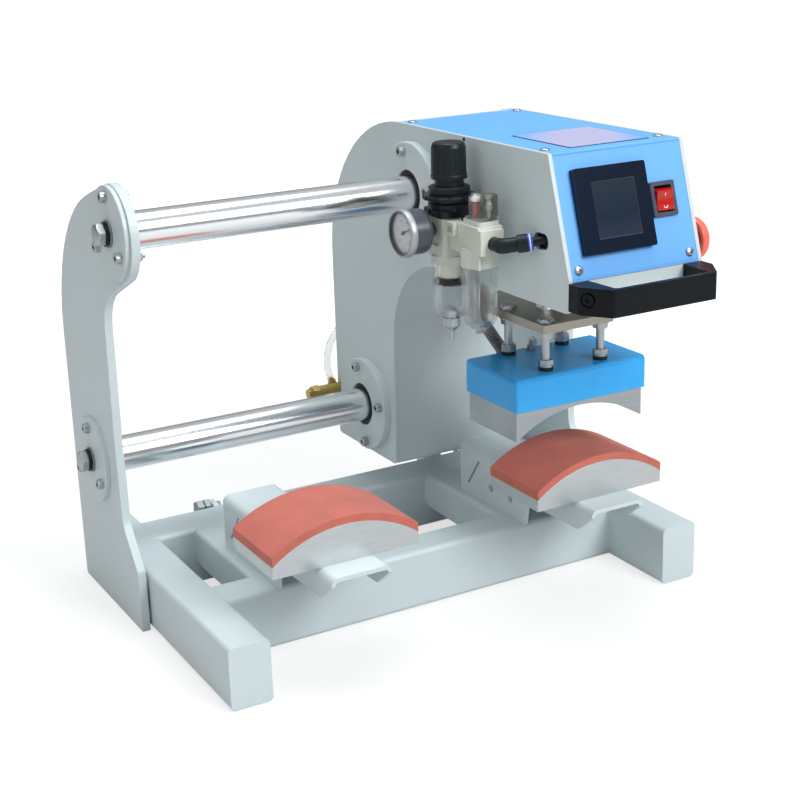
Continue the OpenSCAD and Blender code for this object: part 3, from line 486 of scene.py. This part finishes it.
def swept(bm, path, radius, sides=16):
    """Round bar along a path of points."""
    path = [Vector(p) for p in path]
    heading = (path[1] - path[0]).normalized()
    side = heading.orthogonal().normalized()
    rows = []
    for i, point in enumerate(path):
        ahead = (path[min(i + 1, len(path) - 1)] - path[max(i - 1, 0)]).normalized()
        side = heading.rotation_difference(ahead) @ side
        heading = ahead
        across = heading.cross(side)
        rows.append([bm.verts.new(point + radius * (
            math.cos(math.tau * k / sides) * side + math.sin(math.tau * k / sides) * across))
            for k in range(sides)])
    for low, high in zip(rows, rows[1:]):
        for k in range(sides):
            j = (k + 1) % sides
            bm.faces.new((low[k], low[j], high[j], high[k]))
    bm.faces.new(rows[0][::-1])
    bm.faces.new(rows[-1])


def oblong(x0, y0, x1, y1, radius, parts=5):
    """Outline of a rectangle with rounded corners."""
    corners = ((x1 - radius, y1 - radius, 0), (x0 + radius, y1 - radius, 90),
               (x0 + radius, y0 + radius, 180), (x1 - radius, y0 + radius, 270))
    return [(x + radius * math.cos(math.radians(start + 90 * i / parts)),
             y + radius * math.sin(math.radians(start + 90 * i / parts)))
            for x, y, start in corners for i in range(parts + 1)]


def circle(radius, steps):
    return [(radius * math.cos(math.tau * i / steps), radius * math.sin(math.tau * i / steps))
            for i in range(steps)]


def soften(bm, width, degrees=30, segments=2):
    """Rounds every edge whose faces turn by more than the given angle."""
    bmesh.ops.recalc_face_normals(bm, faces=bm.faces)
    edges = [e for e in bm.edges if len(e.link_faces) == 2
             and e.calc_face_angle(0) > math.radians(degrees)]
    bmesh.ops.bevel(bm, geom=edges, offset=width, segments=segments, profile=0.5,
                    affect="EDGES", clamp_overlap=True)


def piece(name, bm, finish, body, crease=35):
    """Makes an object of the mesh, in metres, gives it a finish and lets it ride on a body."""
    bmesh.ops.recalc_face_normals(bm, faces=bm.faces)
    bmesh.ops.scale(bm, vec=(MM, MM, MM), verts=bm.verts)
    mesh = bpy.data.meshes.new(name)
    bm.to_mesh(mesh)
    bm.free()
    mesh.shade_smooth()
    mesh.set_sharp_from_angle(angle=math.radians(crease))
    mesh.materials.append(LOOKS[finish])
    made = bpy.data.objects.new(name, mesh)
    bpy.context.scene.collection.objects.link(made)
    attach(made, body)
    return made


# Places of the machine, in millimetres

END_FACE = 266.5
SHAFTS = ((51.2, 394.5), (164.7, 148.2))
HEAD_X, HEAD_HALF, SIDE_SHEET = 113.5, 72, 4
FOOT_IN, TUBE_HEIGHT, TUBE_ROUND = 216, 60, 5
RAILS = ((-34, 6), (140, 190))
CROSS_X, CROSS_HALF, CROSS_FOOT = 138, 40, 20
PANEL_TOP, PANEL_TILT = 459.4, 16.5
PANEL = moved(HEAD_X, -172.9, PANEL_TOP) @ turned(90 - PANEL_TILT, "X")
GAUGE = moved(11, -56, 382) @ turned(-90, "Y")
FILTER, LUBRICATOR, DOME = moved(14, -58), moved(14, -107), moved(14, -103)
OIL_PLUG, NEEDLE, OUTLET = moved(14, -88), moved(19.5, -115.5), moved(14, -139, 379)


def on_ends():
    """Frame of each shaft end, with z outwards."""
    for y, z in SHAFTS:
        for side in (1, -1):
            yield Matrix.Diagonal((side, 1, 1, 1)) @ moved(END_FACE, y, z) @ turned(90, "Y")


# Stage

CAMERA_AT = Vector((-0.694389, -1.226758, 0.666736))
AZIMUTH, ELEVATION, ROLL = map(math.radians, (-28.88136, 17.48203, -1.87485))
FOCAL_PX, CENTRE_PX, FRAME_PX = 1528.969, (393.472, 381.544), 800
LAMP_AIM = Vector((0, 0, 0.2))
FLOOR_HALF, FLOOR_GAP = 12, 0.0002


def camera_axes():
    """Right, up and back axes of the camera in the room."""
    back = Vector((math.sin(AZIMUTH) * math.cos(ELEVATION),
                   -math.cos(AZIMUTH) * math.cos(ELEVATION), math.sin(ELEVATION)))
    right = (-back).cross(Vector((0, 0, 1))).normalized()
    up = back.cross(right)
    cos, sin = math.cos(ROLL), math.sin(ROLL)
    return cos * right + sin * up, cos * up - sin * right, back


def area_lamp(name, place, size, watts, colour):
    """Round soft lamp, aimed at the middle of the machine."""
    lamp = bpy.data.lights.new(name, "AREA")
    lamp.shape, lamp.size, lamp.energy, lamp.color = "DISK", size, watts, colour
    held = bpy.data.objects.new(name, lamp)
    held.location = place
    held.rotation_euler = (LAMP_AIM - Vector(place)).to_track_quat("-Z", "Y").to_euler()
    bpy.context.scene.collection.objects.link(held)


def rays(tree):
    """Light Path outputs, and whether the camera looks at this, straight or through clear walls."""
    path = add(tree, "ShaderNodeLightPath").outputs
    seen = add(tree, "ShaderNodeMath", {
        0: path["Is Camera Ray"], 1: path["Is Transmission Ray"]}, operation="MAXIMUM").outputs[0]
    return path, seen


class HEATPRESS_OT_stage(bpy.types.Operator):
    """Adds the pale floor, the soft lights, the room and the camera"""
    bl_idname = "heatpress.stage"
    bl_label = "Stage"

    def execute(self, context):
        scene = context.scene
        scene.view_settings.view_transform = "Standard"
        lens = bpy.data.cameras.new("camera")
        lens.sensor_width = 36
        lens.lens = FOCAL_PX * lens.sensor_width / FRAME_PX
        lens.shift_x = (FRAME_PX / 2 - CENTRE_PX[0]) / FRAME_PX
        lens.shift_y = (CENTRE_PX[1] - FRAME_PX / 2) / FRAME_PX
        lens.clip_end = 50
        camera = bpy.data.objects.new("camera", lens)
        right, up, back = camera_axes()
        turn = Matrix((right, up, back)).transposed()
        camera.matrix_world = Matrix.Translation(CAMERA_AT) @ turn.to_4x4()
        scene.collection.objects.link(camera)
        scene.camera = camera

        look, tree = blank("studio_floor")
        path, seen = rays(tree)
        # The camera sees a white board that keeps its shadow, and bright metal a greyer one
        board = add(tree, "ShaderNodeBsdfDiffuse", {"Color": between(
            tree, seen, rgba(linear("#cecece")), rgba(linear("#9e9e9e")), 0, 1)})
        # Away from the machine the board runs out to plain white
        away = add(tree, "ShaderNodeVectorMath", {
            0: add(tree, "ShaderNodeNewGeometry").outputs["Position"]},
            operation="LENGTH").outputs["Value"]
        bright = add(tree, "ShaderNodeMapRange", {
            "Value": away, "From Min": 0.5, "From Max": 1.6, "To Min": 0.68, "To Max": 1.0,
        }).outputs["Result"]
        glow = add(tree, "ShaderNodeMath", {
            0: seen, 1: bright, 2: add(tree, "ShaderNodeMath", {
                0: path["Is Glossy Ray"], 1: 0.1}, operation="MULTIPLY").outputs[0]},
            operation="MULTIPLY_ADD").outputs[0]
        lift = add(tree, "ShaderNodeEmission", {"Color": (1, 1, 1, 1), "Strength": glow})
        output(tree, add(tree, "ShaderNodeAddShader",
                         {0: board.outputs[0], 1: lift.outputs[0]}).outputs[0])
        bm = bmesh.new()
        bmesh.ops.create_grid(bm, x_segments=8, y_segments=8, size=FLOOR_HALF)
        mesh = bpy.data.meshes.new("floor")
        bm.to_mesh(mesh)
        bm.free()
        floor = bpy.data.objects.new("floor", mesh)
        floor.location.z = -FLOOR_GAP
        mesh.materials.append(look)
        scene.collection.objects.link(floor)

        world = bpy.data.worlds.new("studio")
        scene.world = world
        world.use_nodes = True
        tree = world.node_tree
        tree.nodes.clear()
        # Soft room: bright above, darker low down, so that round metal shows bands
        height = add(tree, "ShaderNodeSeparateXYZ", {
            "Vector": add(tree, "ShaderNodeTexCoord").outputs["Generated"]}).outputs["Z"]
        sky = steps_between(
            tree, height, (0.0, rgba(linear("#95979b"))), (0.12, rgba(linear("#acadaf"))),
            (0.3, rgba(linear("#cdced1"))), (0.5, rgba(linear("#ebedf1"))),
            (0.9, rgba(linear("#f9fdff"))))
        room = add(tree, "ShaderNodeBackground", {"Color": sky, "Strength": 0.5})
        white = add(tree, "ShaderNodeBackground", {"Color": (1, 1, 1, 1), "Strength": 1.0})
        mix = add(tree, "ShaderNodeMixShader", {
            0: rays(tree)[1], 1: room.outputs[0], 2: white.outputs[0]})
        add(tree, "ShaderNodeOutputWorld", {"Surface": mix.outputs[0]})

        area_lamp("key", (1.0, -2.9, 2.2), 1.6, 83, (0.97, 0.995, 1))
        area_lamp("fill", (-2.8, -0.6, 1.5), 1.8, 9, (1, 0.94, 0.86))
        area_lamp("top", (0.1, 0.2, 3.2), 2.2, 50, (0.9, 0.97, 1))
        return {"FINISHED"}


# Base and guides

class HEATPRESS_OT_base(bpy.types.Operator):
    """Paints the welded base and the end plates, and runs its weld beads"""
    bl_idname = "heatpress.base"
    bl_label = "Base"

    def execute(self, context):
        dress("frame_powder_coat", "plate_powder_coat", "satin_plated_steel",
              "shaft_hard_chrome", "pad_silicone_rubber", "platen_milled_aluminium")
        width = context.scene.heatpress_sizes.weld_width / MM
        gap_front, gap_back = RAILS[0][1], RAILS[1][0]

        # The rounded edges of the tubes are filled flush where one tube meets another
        bm = bmesh.new()
        on_side = turned(90, "Z") @ turned(90, "X")
        for side in (-1, 1):
            for front, back in RAILS:
                drawn(bm, oblong(front, 0, back, TUBE_HEIGHT, TUBE_ROUND),
                      *sorted((side * FOOT_IN, side * (FOOT_IN + TUBE_ROUND))), on_side)
            cross = oblong(side * CROSS_X - CROSS_HALF, CROSS_FOOT, side * CROSS_X + CROSS_HALF,
                           TUBE_HEIGHT, TUBE_ROUND)
            for front, back in ((gap_front - TUBE_ROUND, gap_front), (gap_back, gap_back + TUBE_ROUND)):
                drawn(bm, cross, -back, -front, turned(90, "X"))
        piece("tube_joint_fill", bm, "frame_powder_coat", "base")

        # Beads down the corners between rails and feet, and between cross tubes and rails
        bm = bmesh.new()
        corners = [(side * FOOT_IN, y, -side, way, 3) for side in (-1, 1)
                   for front, back in RAILS for y, way in ((front, -1), (back, 1))]
        corners += [(side * CROSS_X + edge * CROSS_HALF, y, edge, way, CROSS_FOOT + 4)
                    for side in (-1, 1) for edge in (-1, 1)
                    for y, way in ((gap_front, 1), (gap_back, -1))]
        for x, y, across, out, foot in corners:
            weld(bm, x, y, across, out, foot, TUBE_HEIGHT - 3, width * 0.6)
        piece("base_welds", bm, "frame_powder_coat", "base", 60)
        return {"FINISHED"}


def weld(bm, x, y, across, out, foot, top, leg):
    """Upright fillet bead in the corner at (x, y), thin at both ends and a little uneven."""
    rows = []
    count = 14
    for i in range(count + 1):
        share = i / count
        size = leg * min(1, 6 * share, 6 * (1 - share)) * (1 + 0.08 * math.sin(9 * i)) + 0.05
        height = foot + (top - foot) * share
        rows.append([bm.verts.new((x + across * a * size, y + out * b * size, height))
                     for a, b in ((-0.3, -0.3), (1, -0.3), (1, 0), (0.5, 0.2), (0.2, 0.5), (0, 1),
                                  (-0.3, 1))])
    for low, high in zip(rows, rows[1:]):
        for k, corner in enumerate(low):
            j = (k + 1) % len(low)
            bm.faces.new((corner, low[j], high[j], high[k]))
    bm.faces.new(rows[0][::-1])
    bm.faces.new(rows[-1])


class HEATPRESS_OT_shaft_ends(bpy.types.Operator):
    """Makes the bolts that hold the shafts, with their spring washers"""
    bl_idname = "heatpress.shaft_ends"
    bl_label = "Shaft ends"

    def execute(self, context):
        dress("zinc_plated_steel", "blackened_steel")
        heads, springs, flats = bmesh.new(), bmesh.new(), bmesh.new()
        for place in on_ends():
            spun(flats, [(8.2, 4.5), (12.1, 4.5), (12.4, 4.8), (12.4, 6.2), (12.1, 6.5), (8.2, 6.5)],
                 place)
            # Spring washer: one turn, cut and sprung apart at the cut
            rows = []
            for i in range(49):
                turn = math.radians(4 + 352 * i / 48)
                lift = 0.8 * i / 48 - 0.4
                rows.append([springs.verts.new(place @ Vector((
                    r * math.cos(turn), r * math.sin(turn), z + lift)))
                    for r, z in ((8.6, 6.95), (11, 6.95), (11, 9.0), (8.6, 9.0))])
            for low, high in zip(rows, rows[1:]):
                for k in range(4):
                    j = (k + 1) % 4
                    springs.faces.new((low[k], low[j], high[j], high[k]))
            springs.faces.new(rows[0])
            springs.faces.new(rows[-1])
            hex_head(heads, place @ moved(0, 0, 9.5) @ turned(15, "Z"), 19, 7, collar=0.5)
            spun(heads, [(0, -20), (7.9, -20), (7.9, 9.5), (0, 9.5)], place)
        head = piece("shaft_bolt_heads", heads, "zinc_plated_steel", "base")
        piece("shaft_bolt_spring_washers", springs, "blackened_steel", "base")
        piece("shaft_bolt_washers", flats, "satin_plated_steel", "base")
        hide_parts("shaft_end_bolts")
        return {"FINISHED"}


def hex_head(bm, place, flats, height, collar=0.0):
    """Bolt head along local z: hexagon with its rounded-off corners at the top."""
    corner = flats / math.sqrt(3)
    steps = 48
    rows = []
    for share, cut in ((0, 9), (0.62, 9), (0.8, 0.975), (0.92, 0.94), (1, 0.86)):
        row = []
        for i in range(steps):
            turn = math.tau * i / steps
            reach = flats / 2 / math.cos((turn % (math.pi / 3)) - math.pi / 6)
            row.append(bm.verts.new(place @ Vector((
                *(min(reach, corner * cut) * Vector((math.cos(turn), math.sin(turn)))),
                collar + share * (height - collar)))))
        rows.append(row)
    for low, high in zip(rows, rows[1:]):
        for i in range(steps):
            j = (i + 1) % steps
            bm.faces.new((low[i], low[j], high[j], high[i]))
    bm.faces.new(rows[0][::-1])
    bm.faces.new(rows[-1])
    if collar:
        spun(bm, [(0, 0), (flats * 0.46, 0), (flats * 0.46, collar), (0, collar)], place)


class HEATPRESS_OT_carriage(bpy.types.Operator):
    """Finishes the carriage and its panels, and adds seals, plate, fold, plug and the painted shade of
    the screw recesses
    """
    bl_idname = "heatpress.carriage"
    bl_label = "Carriage"

    def execute(self, context):
        dress("panel_powder_coat", "black_gloss_abs", "grey_moulded_abs", "red_moulded_abs",
              "red_stop_abs", "handle_nylon",
              "black_moulded_nylon", "cylinder_anodised_aluminium", "rolled_steel_plate")
        inner_half = HEAD_HALF - SIDE_SHEET

        # Lip seals in the flanges, round the shafts
        bm = bmesh.new()
        for y, z in SHAFTS:
            for side in (-1, 1):
                place = moved(HEAD_X + side * HEAD_HALF, y, z) @ turned(side * 90, "Y")
                spun(bm, [(17.7, 5.4), (18.6, 4.2), (22.8, 4.2), (22.8, 6.2), (20.8, 6.6),
                          (19.6, 6.0), (18.2, 6.4)], place)
        piece("shaft_seals", bm, "fibre_washer", "carriage", 50)

        # Thin bare plate on the top panel, with its darker edge
        plate = oblong(76.4, -156.9, 161.4, -66.4, 2.2)
        bm = bmesh.new()
        drawn(bm, plate, PANEL_TOP - 0.3, PANEL_TOP + 0.3)
        piece("top_plate", bm, "satin_foil", "carriage")
        bm = bmesh.new()
        framed(bm, oblong(76, -157.3, 161.8, -66, 2.5), plate, PANEL_TOP - 0.3, PANEL_TOP + 0.35)
        piece("top_plate_edge", bm, "grey_moulded_abs", "carriage")

        # Rounded fold between the top and the slanted panel
        ends = (0.1 - inner_half, inner_half - 0.1)
        bm = bmesh.new()
        swept(bm, [(HEAD_X + x, -172.2, PANEL_TOP - 1.1) for x in ends], 1.2, 24)
        swept(bm, [PANEL @ Vector((x, -1.9, -0.9)) for x in ends], 0.75, 24)
        piece("panel_fold", bm, "panel_powder_coat", "carriage")

        # Small black plug high on the left plate
        bm = bmesh.new()
        spun(bm, [(0, -0.2), (1.7, -0.2), (1.7, 0.5), (1.3, 0.9), (0, 0.9)],
             moved(HEAD_X - HEAD_HALF, -40.6, 456.6) @ turned(-90, "Y"), 20)
        piece("side_plug", bm, "fibre_washer", "carriage")

        # Dark sheet behind the slot of the air tube: painted shade inside the head
        bm = bmesh.new()
        drawn(bm, oblong(-180, 371, -148, 395, 4), HEAD_X - inner_half + 0.3,
              HEAD_X - inner_half + 1.3, turned(90, "Z") @ turned(90, "X"))
        piece("slot_shade_sheet", bm, "fibre_washer", "carriage")

        # Painted shade in the cross recesses of the pan heads of the panel screws
        bm = bmesh.new()
        for x in (-60, 60):
            cross_recess(bm, PANEL @ moved(x, -100.5, 1.5) @ turned(20, "Z"))
        for x in (-61, 61):
            for y in (-153, 72):
                cross_recess(bm, moved(HEAD_X + x, y, PANEL_TOP + 1.1) @ turned(35, "Z"))
        piece("panel_screw_recess_shade", bm, "blackened_steel", "carriage")
        return {"FINISHED"}


def cross_recess(bm, place):
    """Dark cross in a screw head, painted shade of its recess, of two bars that stand barely proud of
    it.
    """
    for turn in (0, 90):
        drawn(bm, oblong(-2.1, -0.4, 2.1, 0.4, 0.3, 2), -0.6, 0.52, place @ turned(turn, "Z"))


class HEATPRESS_OT_controls(bpy.types.Operator):
    """Adds the display of the controller, with its rim, and the marks on the rocker"""
    bl_idname = "heatpress.controls"
    bl_label = "Controls"

    def execute(self, context):
        # Display behind its glass, with the thin sheet edge that shows round it
        at = PANEL @ moved(-14.1, -53.1, 0)
        bm = bmesh.new()
        drawn(bm, oblong(-22.6, -24.3, 22.6, 24.3, 0.6, 3), 4.8, 5.0, at)
        piece("display", bm, "display_glass", "carriage")
        bm = bmesh.new()
        framed(bm, oblong(-23.1, -24.8, 23.1, 24.8, 0.7, 3), oblong(-22.5, -24.2, 22.5, 24.2, 0.5, 3),
               4.6, 5.15, at)
        piece("display_rim", bm, "grey_moulded_abs", "carriage")

        # Marks moulded on the two halves of the rocker
        at = PANEL @ moved(40, -51.1, -7) @ turned(10, "X")
        bm = bmesh.new()
        slope = math.degrees(math.atan2(2.2, 8.4))
        drawn(bm, oblong(-0.45, -2.3, 0.45, 2.3, 0.2, 2), -0.2, 0.14,
              at @ moved(0, 4.4, 10.5) @ turned(slope, "X"))
        framed(bm, circle(2.3, 32), circle(1.5, 32), -0.2, 0.14,
               at @ moved(0, -4.6, 10.55) @ turned(-slope, "X"))
        piece("rocker_marks", bm, "white_print", "rocker")
        return {"FINISHED"}


# The dial's scale: degrees from 0 to 10, marks for each number, and the print's foot and top
SWEEP, MARKS_PER_NUMBER, PRINT = 270, 4, (43.25, 43.36)


class HEATPRESS_OT_gauge(bpy.types.Operator):
    """Makes the rim, the printed dial and the lens of the gauge"""
    bl_idname = "heatpress.gauge"
    bl_label = "Gauge"

    def execute(self, context):
        radius = context.scene.heatpress_sizes.dial_radius / MM
        bm = bmesh.new()
        spun(bm, [(19.2, 44), (21.85, 41.6), (22.1, 42.2), (22.1, 46.6), (21.5, 47.8), (20.7, 48.5),
                  (20.0, 48.3), (19.7, 47.6), (19.7, 46)], GAUGE)
        piece("gauge_rim", bm, "satin_chromed_rim", "carriage")
        bm = bmesh.new()
        spun(bm, [(0, 43.05), (radius, 43.05), (radius, 43.3), (0, 43.3)], GAUGE)
        piece("gauge_dial", bm, "dial_enamel", "carriage")
        # Scale from 0 to 10 over SWEEP degrees, with longer marks at whole numbers
        bm = bmesh.new()
        for i in range(10 * MARKS_PER_NUMBER + 1):
            long_mark = i % MARKS_PER_NUMBER == 0
            inner = radius * (0.80 if long_mark else 0.88)
            place = GAUGE @ turned(45 + SWEEP / 10 / MARKS_PER_NUMBER * i, "Z") @ turned(90, "Z")
            half = 0.28 if long_mark else 0.14
            drawn(bm, [(-half, -radius * 0.95), (half, -radius * 0.95), (half, -inner),
                       (-half, -inner)], *PRINT, place @ turned(90, "Z"))
        framed(bm, circle(radius * 0.96, 64), circle(radius * 0.94, 64), *PRINT, GAUGE)
        piece("gauge_scale", bm, "dial_ink", "carriage")
        for i in range(0, 11, 2):
            number(i, radius * 0.62)
        bm = bmesh.new()
        spun(bm, [(0, 46.8), (18.6, 46.2), (19.1, 46.2), (19.1, 47.2), (18.6, 47.2), (0, 47.8)], GAUGE)
        piece("gauge_lens", bm, "clear_lens", "carriage")
        return {"FINISHED"}


def number(value, reach):
    """A printed number of the dial, upright, beside its mark."""
    words = bpy.data.curves.new(f"dial_number_{value}", "FONT")
    words.body = str(value)
    words.size, words.align_x, words.align_y = 4.2, "CENTER", "CENTER"
    words.extrude = 0.05
    held = bpy.data.objects.new(words.name, words)
    bpy.context.scene.collection.objects.link(held)
    bpy.context.view_layer.update()
    bm = bmesh.new()
    flat = bpy.data.meshes.new_from_object(held.evaluated_get(
        bpy.context.evaluated_depsgraph_get()))
    bm.from_mesh(flat)
    bpy.data.objects.remove(held)
    bpy.data.meshes.remove(flat)
    # Zero is low on the left as the gauge is read, and the numbers go round over the top
    turn = math.radians(225 - SWEEP / 10 * value)
    # The reader's right is towards -Y, and local x points up
    place = GAUGE @ moved(reach * math.sin(turn), -reach * math.cos(turn), 43.32) @ turned(-90, "Z")
    bmesh.ops.transform(bm, matrix=place, verts=bm.verts)
    piece(f"gauge_number_{value}", bm, "dial_ink", "carriage")


class HEATPRESS_OT_air_set(bpy.types.Operator):
    """Finishes the air preparation set: bowls, sight dome, filler plug and outlet"""
    bl_idname = "heatpress.air_set"
    bl_label = "Air set"

    def execute(self, context):
        dress("air_set_enamel", "gauge_case_enamel", "turned_brass", "clear_polycarbonate",
              "clear_hose")
        # Filter: clear bowl, pale element over a dark baffle
        bm = bmesh.new()
        spun(bm, [(14.6, 354), (15, 354), (15, 349.8), (18, 349.8), (18, 334), (17, 332.5),
                  (17, 306), (15.6, 302.2), (13.4, 300), (6.6, 298), (6.6, 300.4), (12.2, 302.2),
                  (14.0, 304.4), (14.6, 306.6)], FILTER)
        bowl = piece("filter_bowl_shell", bm, "clear_polycarbonate", "carriage")
        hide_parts("filter_bowl")
        bm = bmesh.new()
        spun(bm, [(0, 356), (11.6, 356), (11.6, 337), (10.6, 336), (0, 336)], FILTER)
        piece("filter_element", bm, "sintered_element", "carriage")
        bm = bmesh.new()
        spun(bm, [(0, 335.8), (13.6, 335.8), (14, 335.2), (14, 331.2), (12, 329.4), (0, 329.4)], FILTER)
        for k in range(12):
            drawn(bm, oblong(-0.7, 11, 0.7, 14.4, 0.3, 2), 329.6, 335.6, FILTER @ turned(30 * k, "Z"))
        piece("filter_baffle", bm, "black_moulded_nylon", "carriage")

        # Lubricator: clear bowl with its oil tube
        bm = bmesh.new()
        spun(bm, [(13.1, 360), (13.5, 360), (13.5, 355.2), (16.6, 355.2), (16.6, 342),
                  (15.8, 340.5), (15.8, 310), (14.9, 306), (13.0, 302.4), (8, 298.4), (5.5, 297.6),
                  (5.5, 294), (0, 294), (0, 299), (5, 300), (9.4, 302.6), (12.2, 306.4), (13.1, 311)],
             LUBRICATOR)
        bowl = piece("lubricator_bowl_shell", bm, "clear_polycarbonate", "carriage")
        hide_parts("lubricator_bowl")
        bm = bmesh.new()
        spun(bm, [(1.2, 306), (2.2, 306), (2.2, 361.8), (1.2, 361.8)], LUBRICATOR @ moved(y=4), 24)
        piece("oil_tube", bm, "clear_hose", "carriage")

        # Sight dome, clear with its drip tube, the guard of the needle screw and the oil plug
        bm = bmesh.new()
        drawn(bm, oblong(5.5, -122.5, 26, -95, 5), 397.2, 399.2)
        soften(bm, 0.4)
        inner, outer = [], []
        for i in range(9):
            turn = math.radians(90 * i / 8)
            outer.append((3.4 + 3.4 * math.cos(turn), 414.6 + 5.0 * math.sin(turn)))
            inner.append((2.6 + 2.8 * math.cos(turn), 414.4 + 3.8 * math.sin(turn)))
        spun(bm, [(5.4, 399.3), (6.8, 399.3), *outer[:-1], (0, 419.6), (0, 418.2), *inner[-2::-1]],
             DOME, 40)
        dome = piece("sight_dome_shell", bm, "dome_polycarbonate", "carriage")
        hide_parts("sight_dome")
        bm = bmesh.new()
        framed(bm, oblong(-6.2, -6.2, 6.2, 6.2, 2.4), oblong(-5.2, -5.2, 5.2, 5.2, 1.7), 399.3, 419.6,
               NEEDLE)
        piece("needle_guard", bm, "smoky_polycarbonate", "carriage")
        bm = bmesh.new()
        spun(bm, [(0, 399.3), (3.0, 399.3), (3.0, 411.5), (2.2, 412.4), (0, 412.4)], DOME, 32)
        piece("drip_tube", bm, "red_moulded_nylon", "carriage")
        # White cap on the drip tube, where the dome's top shows a highlight: a painted highlight
        bm = bmesh.new()
        spun(bm, [(0, 412.4), (3.6, 412.4), (4.2, 413.2), (4.2, 415.4), (3.2, 417.0), (0, 417.4)],
             DOME, 32)
        piece("drip_cap_painted_highlight", bm, "white_print", "carriage")
        bm = bmesh.new()
        spun(bm, [(0, 393.2), (4.9, 393.2), (4.9, 397), (4.3, 397.9), (0, 397.9)], OIL_PLUG, 32)
        for k in range(16):
            drawn(bm, oblong(-0.45, 4.6, 0.45, 5.2, 0.15, 2), 393.6, 397.0,
                  OIL_PLUG @ turned(22.5 * k, "Z"))
        piece("oil_plug", bm, "black_moulded_nylon", "carriage")

        # Release ring of the push-in outlet, with its pale lip
        bend = math.radians(239)
        at = (OUTLET @ turned(-8.5, "Y")
              @ moved(8 + 8 * math.cos(bend), 8 * math.sin(bend)) @ turned(-31, "Z") @ turned(90, "Y"))
        bm = bmesh.new()
        spun(bm, [(4.1, 18.1), (7.5, 18.1), (7.5, 22.0), (7.0, 22.5), (4.1, 22.5)], at)
        piece("release_ring", bm, "blue_moulded_acetal", "carriage")
        bm = bmesh.new()
        spun(bm, [(7.1, 19.5), (7.7, 19.5), (7.7, 20.6), (7.1, 20.6)], at)
        piece("release_ring_lip", bm, "white_print", "carriage")
        return {"FINISHED"}


class HEATPRESS_OT_press(bpy.types.Operator):
    """Finishes the heated press and adds the nut of its earth screw"""
    bl_idname = "heatpress.press"
    bl_label = "Press"

    def execute(self, context):
        dress("heater_cover_enamel", "block_milled_aluminium", "fibre_washer", "conduit_sleeve")
        # Nut and washer of the earth screw
        bm = bmesh.new()
        at = moved(109, -48, 247.6)
        spun(bm, [(0, 0), (4.8, 0), (4.8, 1.2), (0, 1.2)], at)
        hex_head(bm, at @ moved(0, 0, 1.2), 7.6, 3.4)
        spun(bm, [(0, 4.4), (2.15, 4.4), (2.15, 8.8), (1.8, 9.2), (0, 9.2)], at, 20)
        piece("earth_screw_nut", bm, "zinc_plated_steel", "press")
        return {"FINISHED"}


class HEATPRESS_PT_panel(bpy.types.Panel):
    """Lists the steps that dress the heat press"""
    bl_idname = "HEATPRESS_PT_panel"
    bl_label = "Heat press"
    bl_space_type = "VIEW_3D"
    bl_region_type = "UI"
    bl_category = "Heat press"

    def draw(self, context):
        for step in STEPS:
            self.layout.operator(step.bl_idname)
        for group in (context.scene.heatpress_colours, context.scene.heatpress_sizes):
            for name in group.__annotations__:
                self.layout.prop(group, name)


STEPS = (HEATPRESS_OT_stage, HEATPRESS_OT_base, HEATPRESS_OT_shaft_ends, HEATPRESS_OT_carriage,
         HEATPRESS_OT_controls, HEATPRESS_OT_gauge, HEATPRESS_OT_air_set, HEATPRESS_OT_press)
CLASSES = (HeatPressColours, HeatPressSizes, *STEPS, HEATPRESS_PT_panel)


def register():
    for kind in CLASSES:
        bpy.utils.register_class(kind)
    bpy.types.Scene.heatpress_colours = bpy.props.PointerProperty(type=HeatPressColours)
    bpy.types.Scene.heatpress_sizes = bpy.props.PointerProperty(type=HeatPressSizes)


def unregister():
    del bpy.types.Scene.heatpress_sizes
    del bpy.types.Scene.heatpress_colours
    for kind in reversed(CLASSES):
        bpy.utils.unregister_class(kind)


def main():
    register()
    scene = bpy.context.scene
    make_materials(scene.heatpress_colours, scene.heatpress_sizes)
    bpy.ops.heatpress.stage()
    bpy.ops.heatpress.base()
    bpy.ops.heatpress.shaft_ends()
    bpy.ops.heatpress.carriage()
    bpy.ops.heatpress.controls()
    bpy.ops.heatpress.gauge()
    bpy.ops.heatpress.air_set()
    bpy.ops.heatpress.press()


if __name__ == "__main__":
    main()
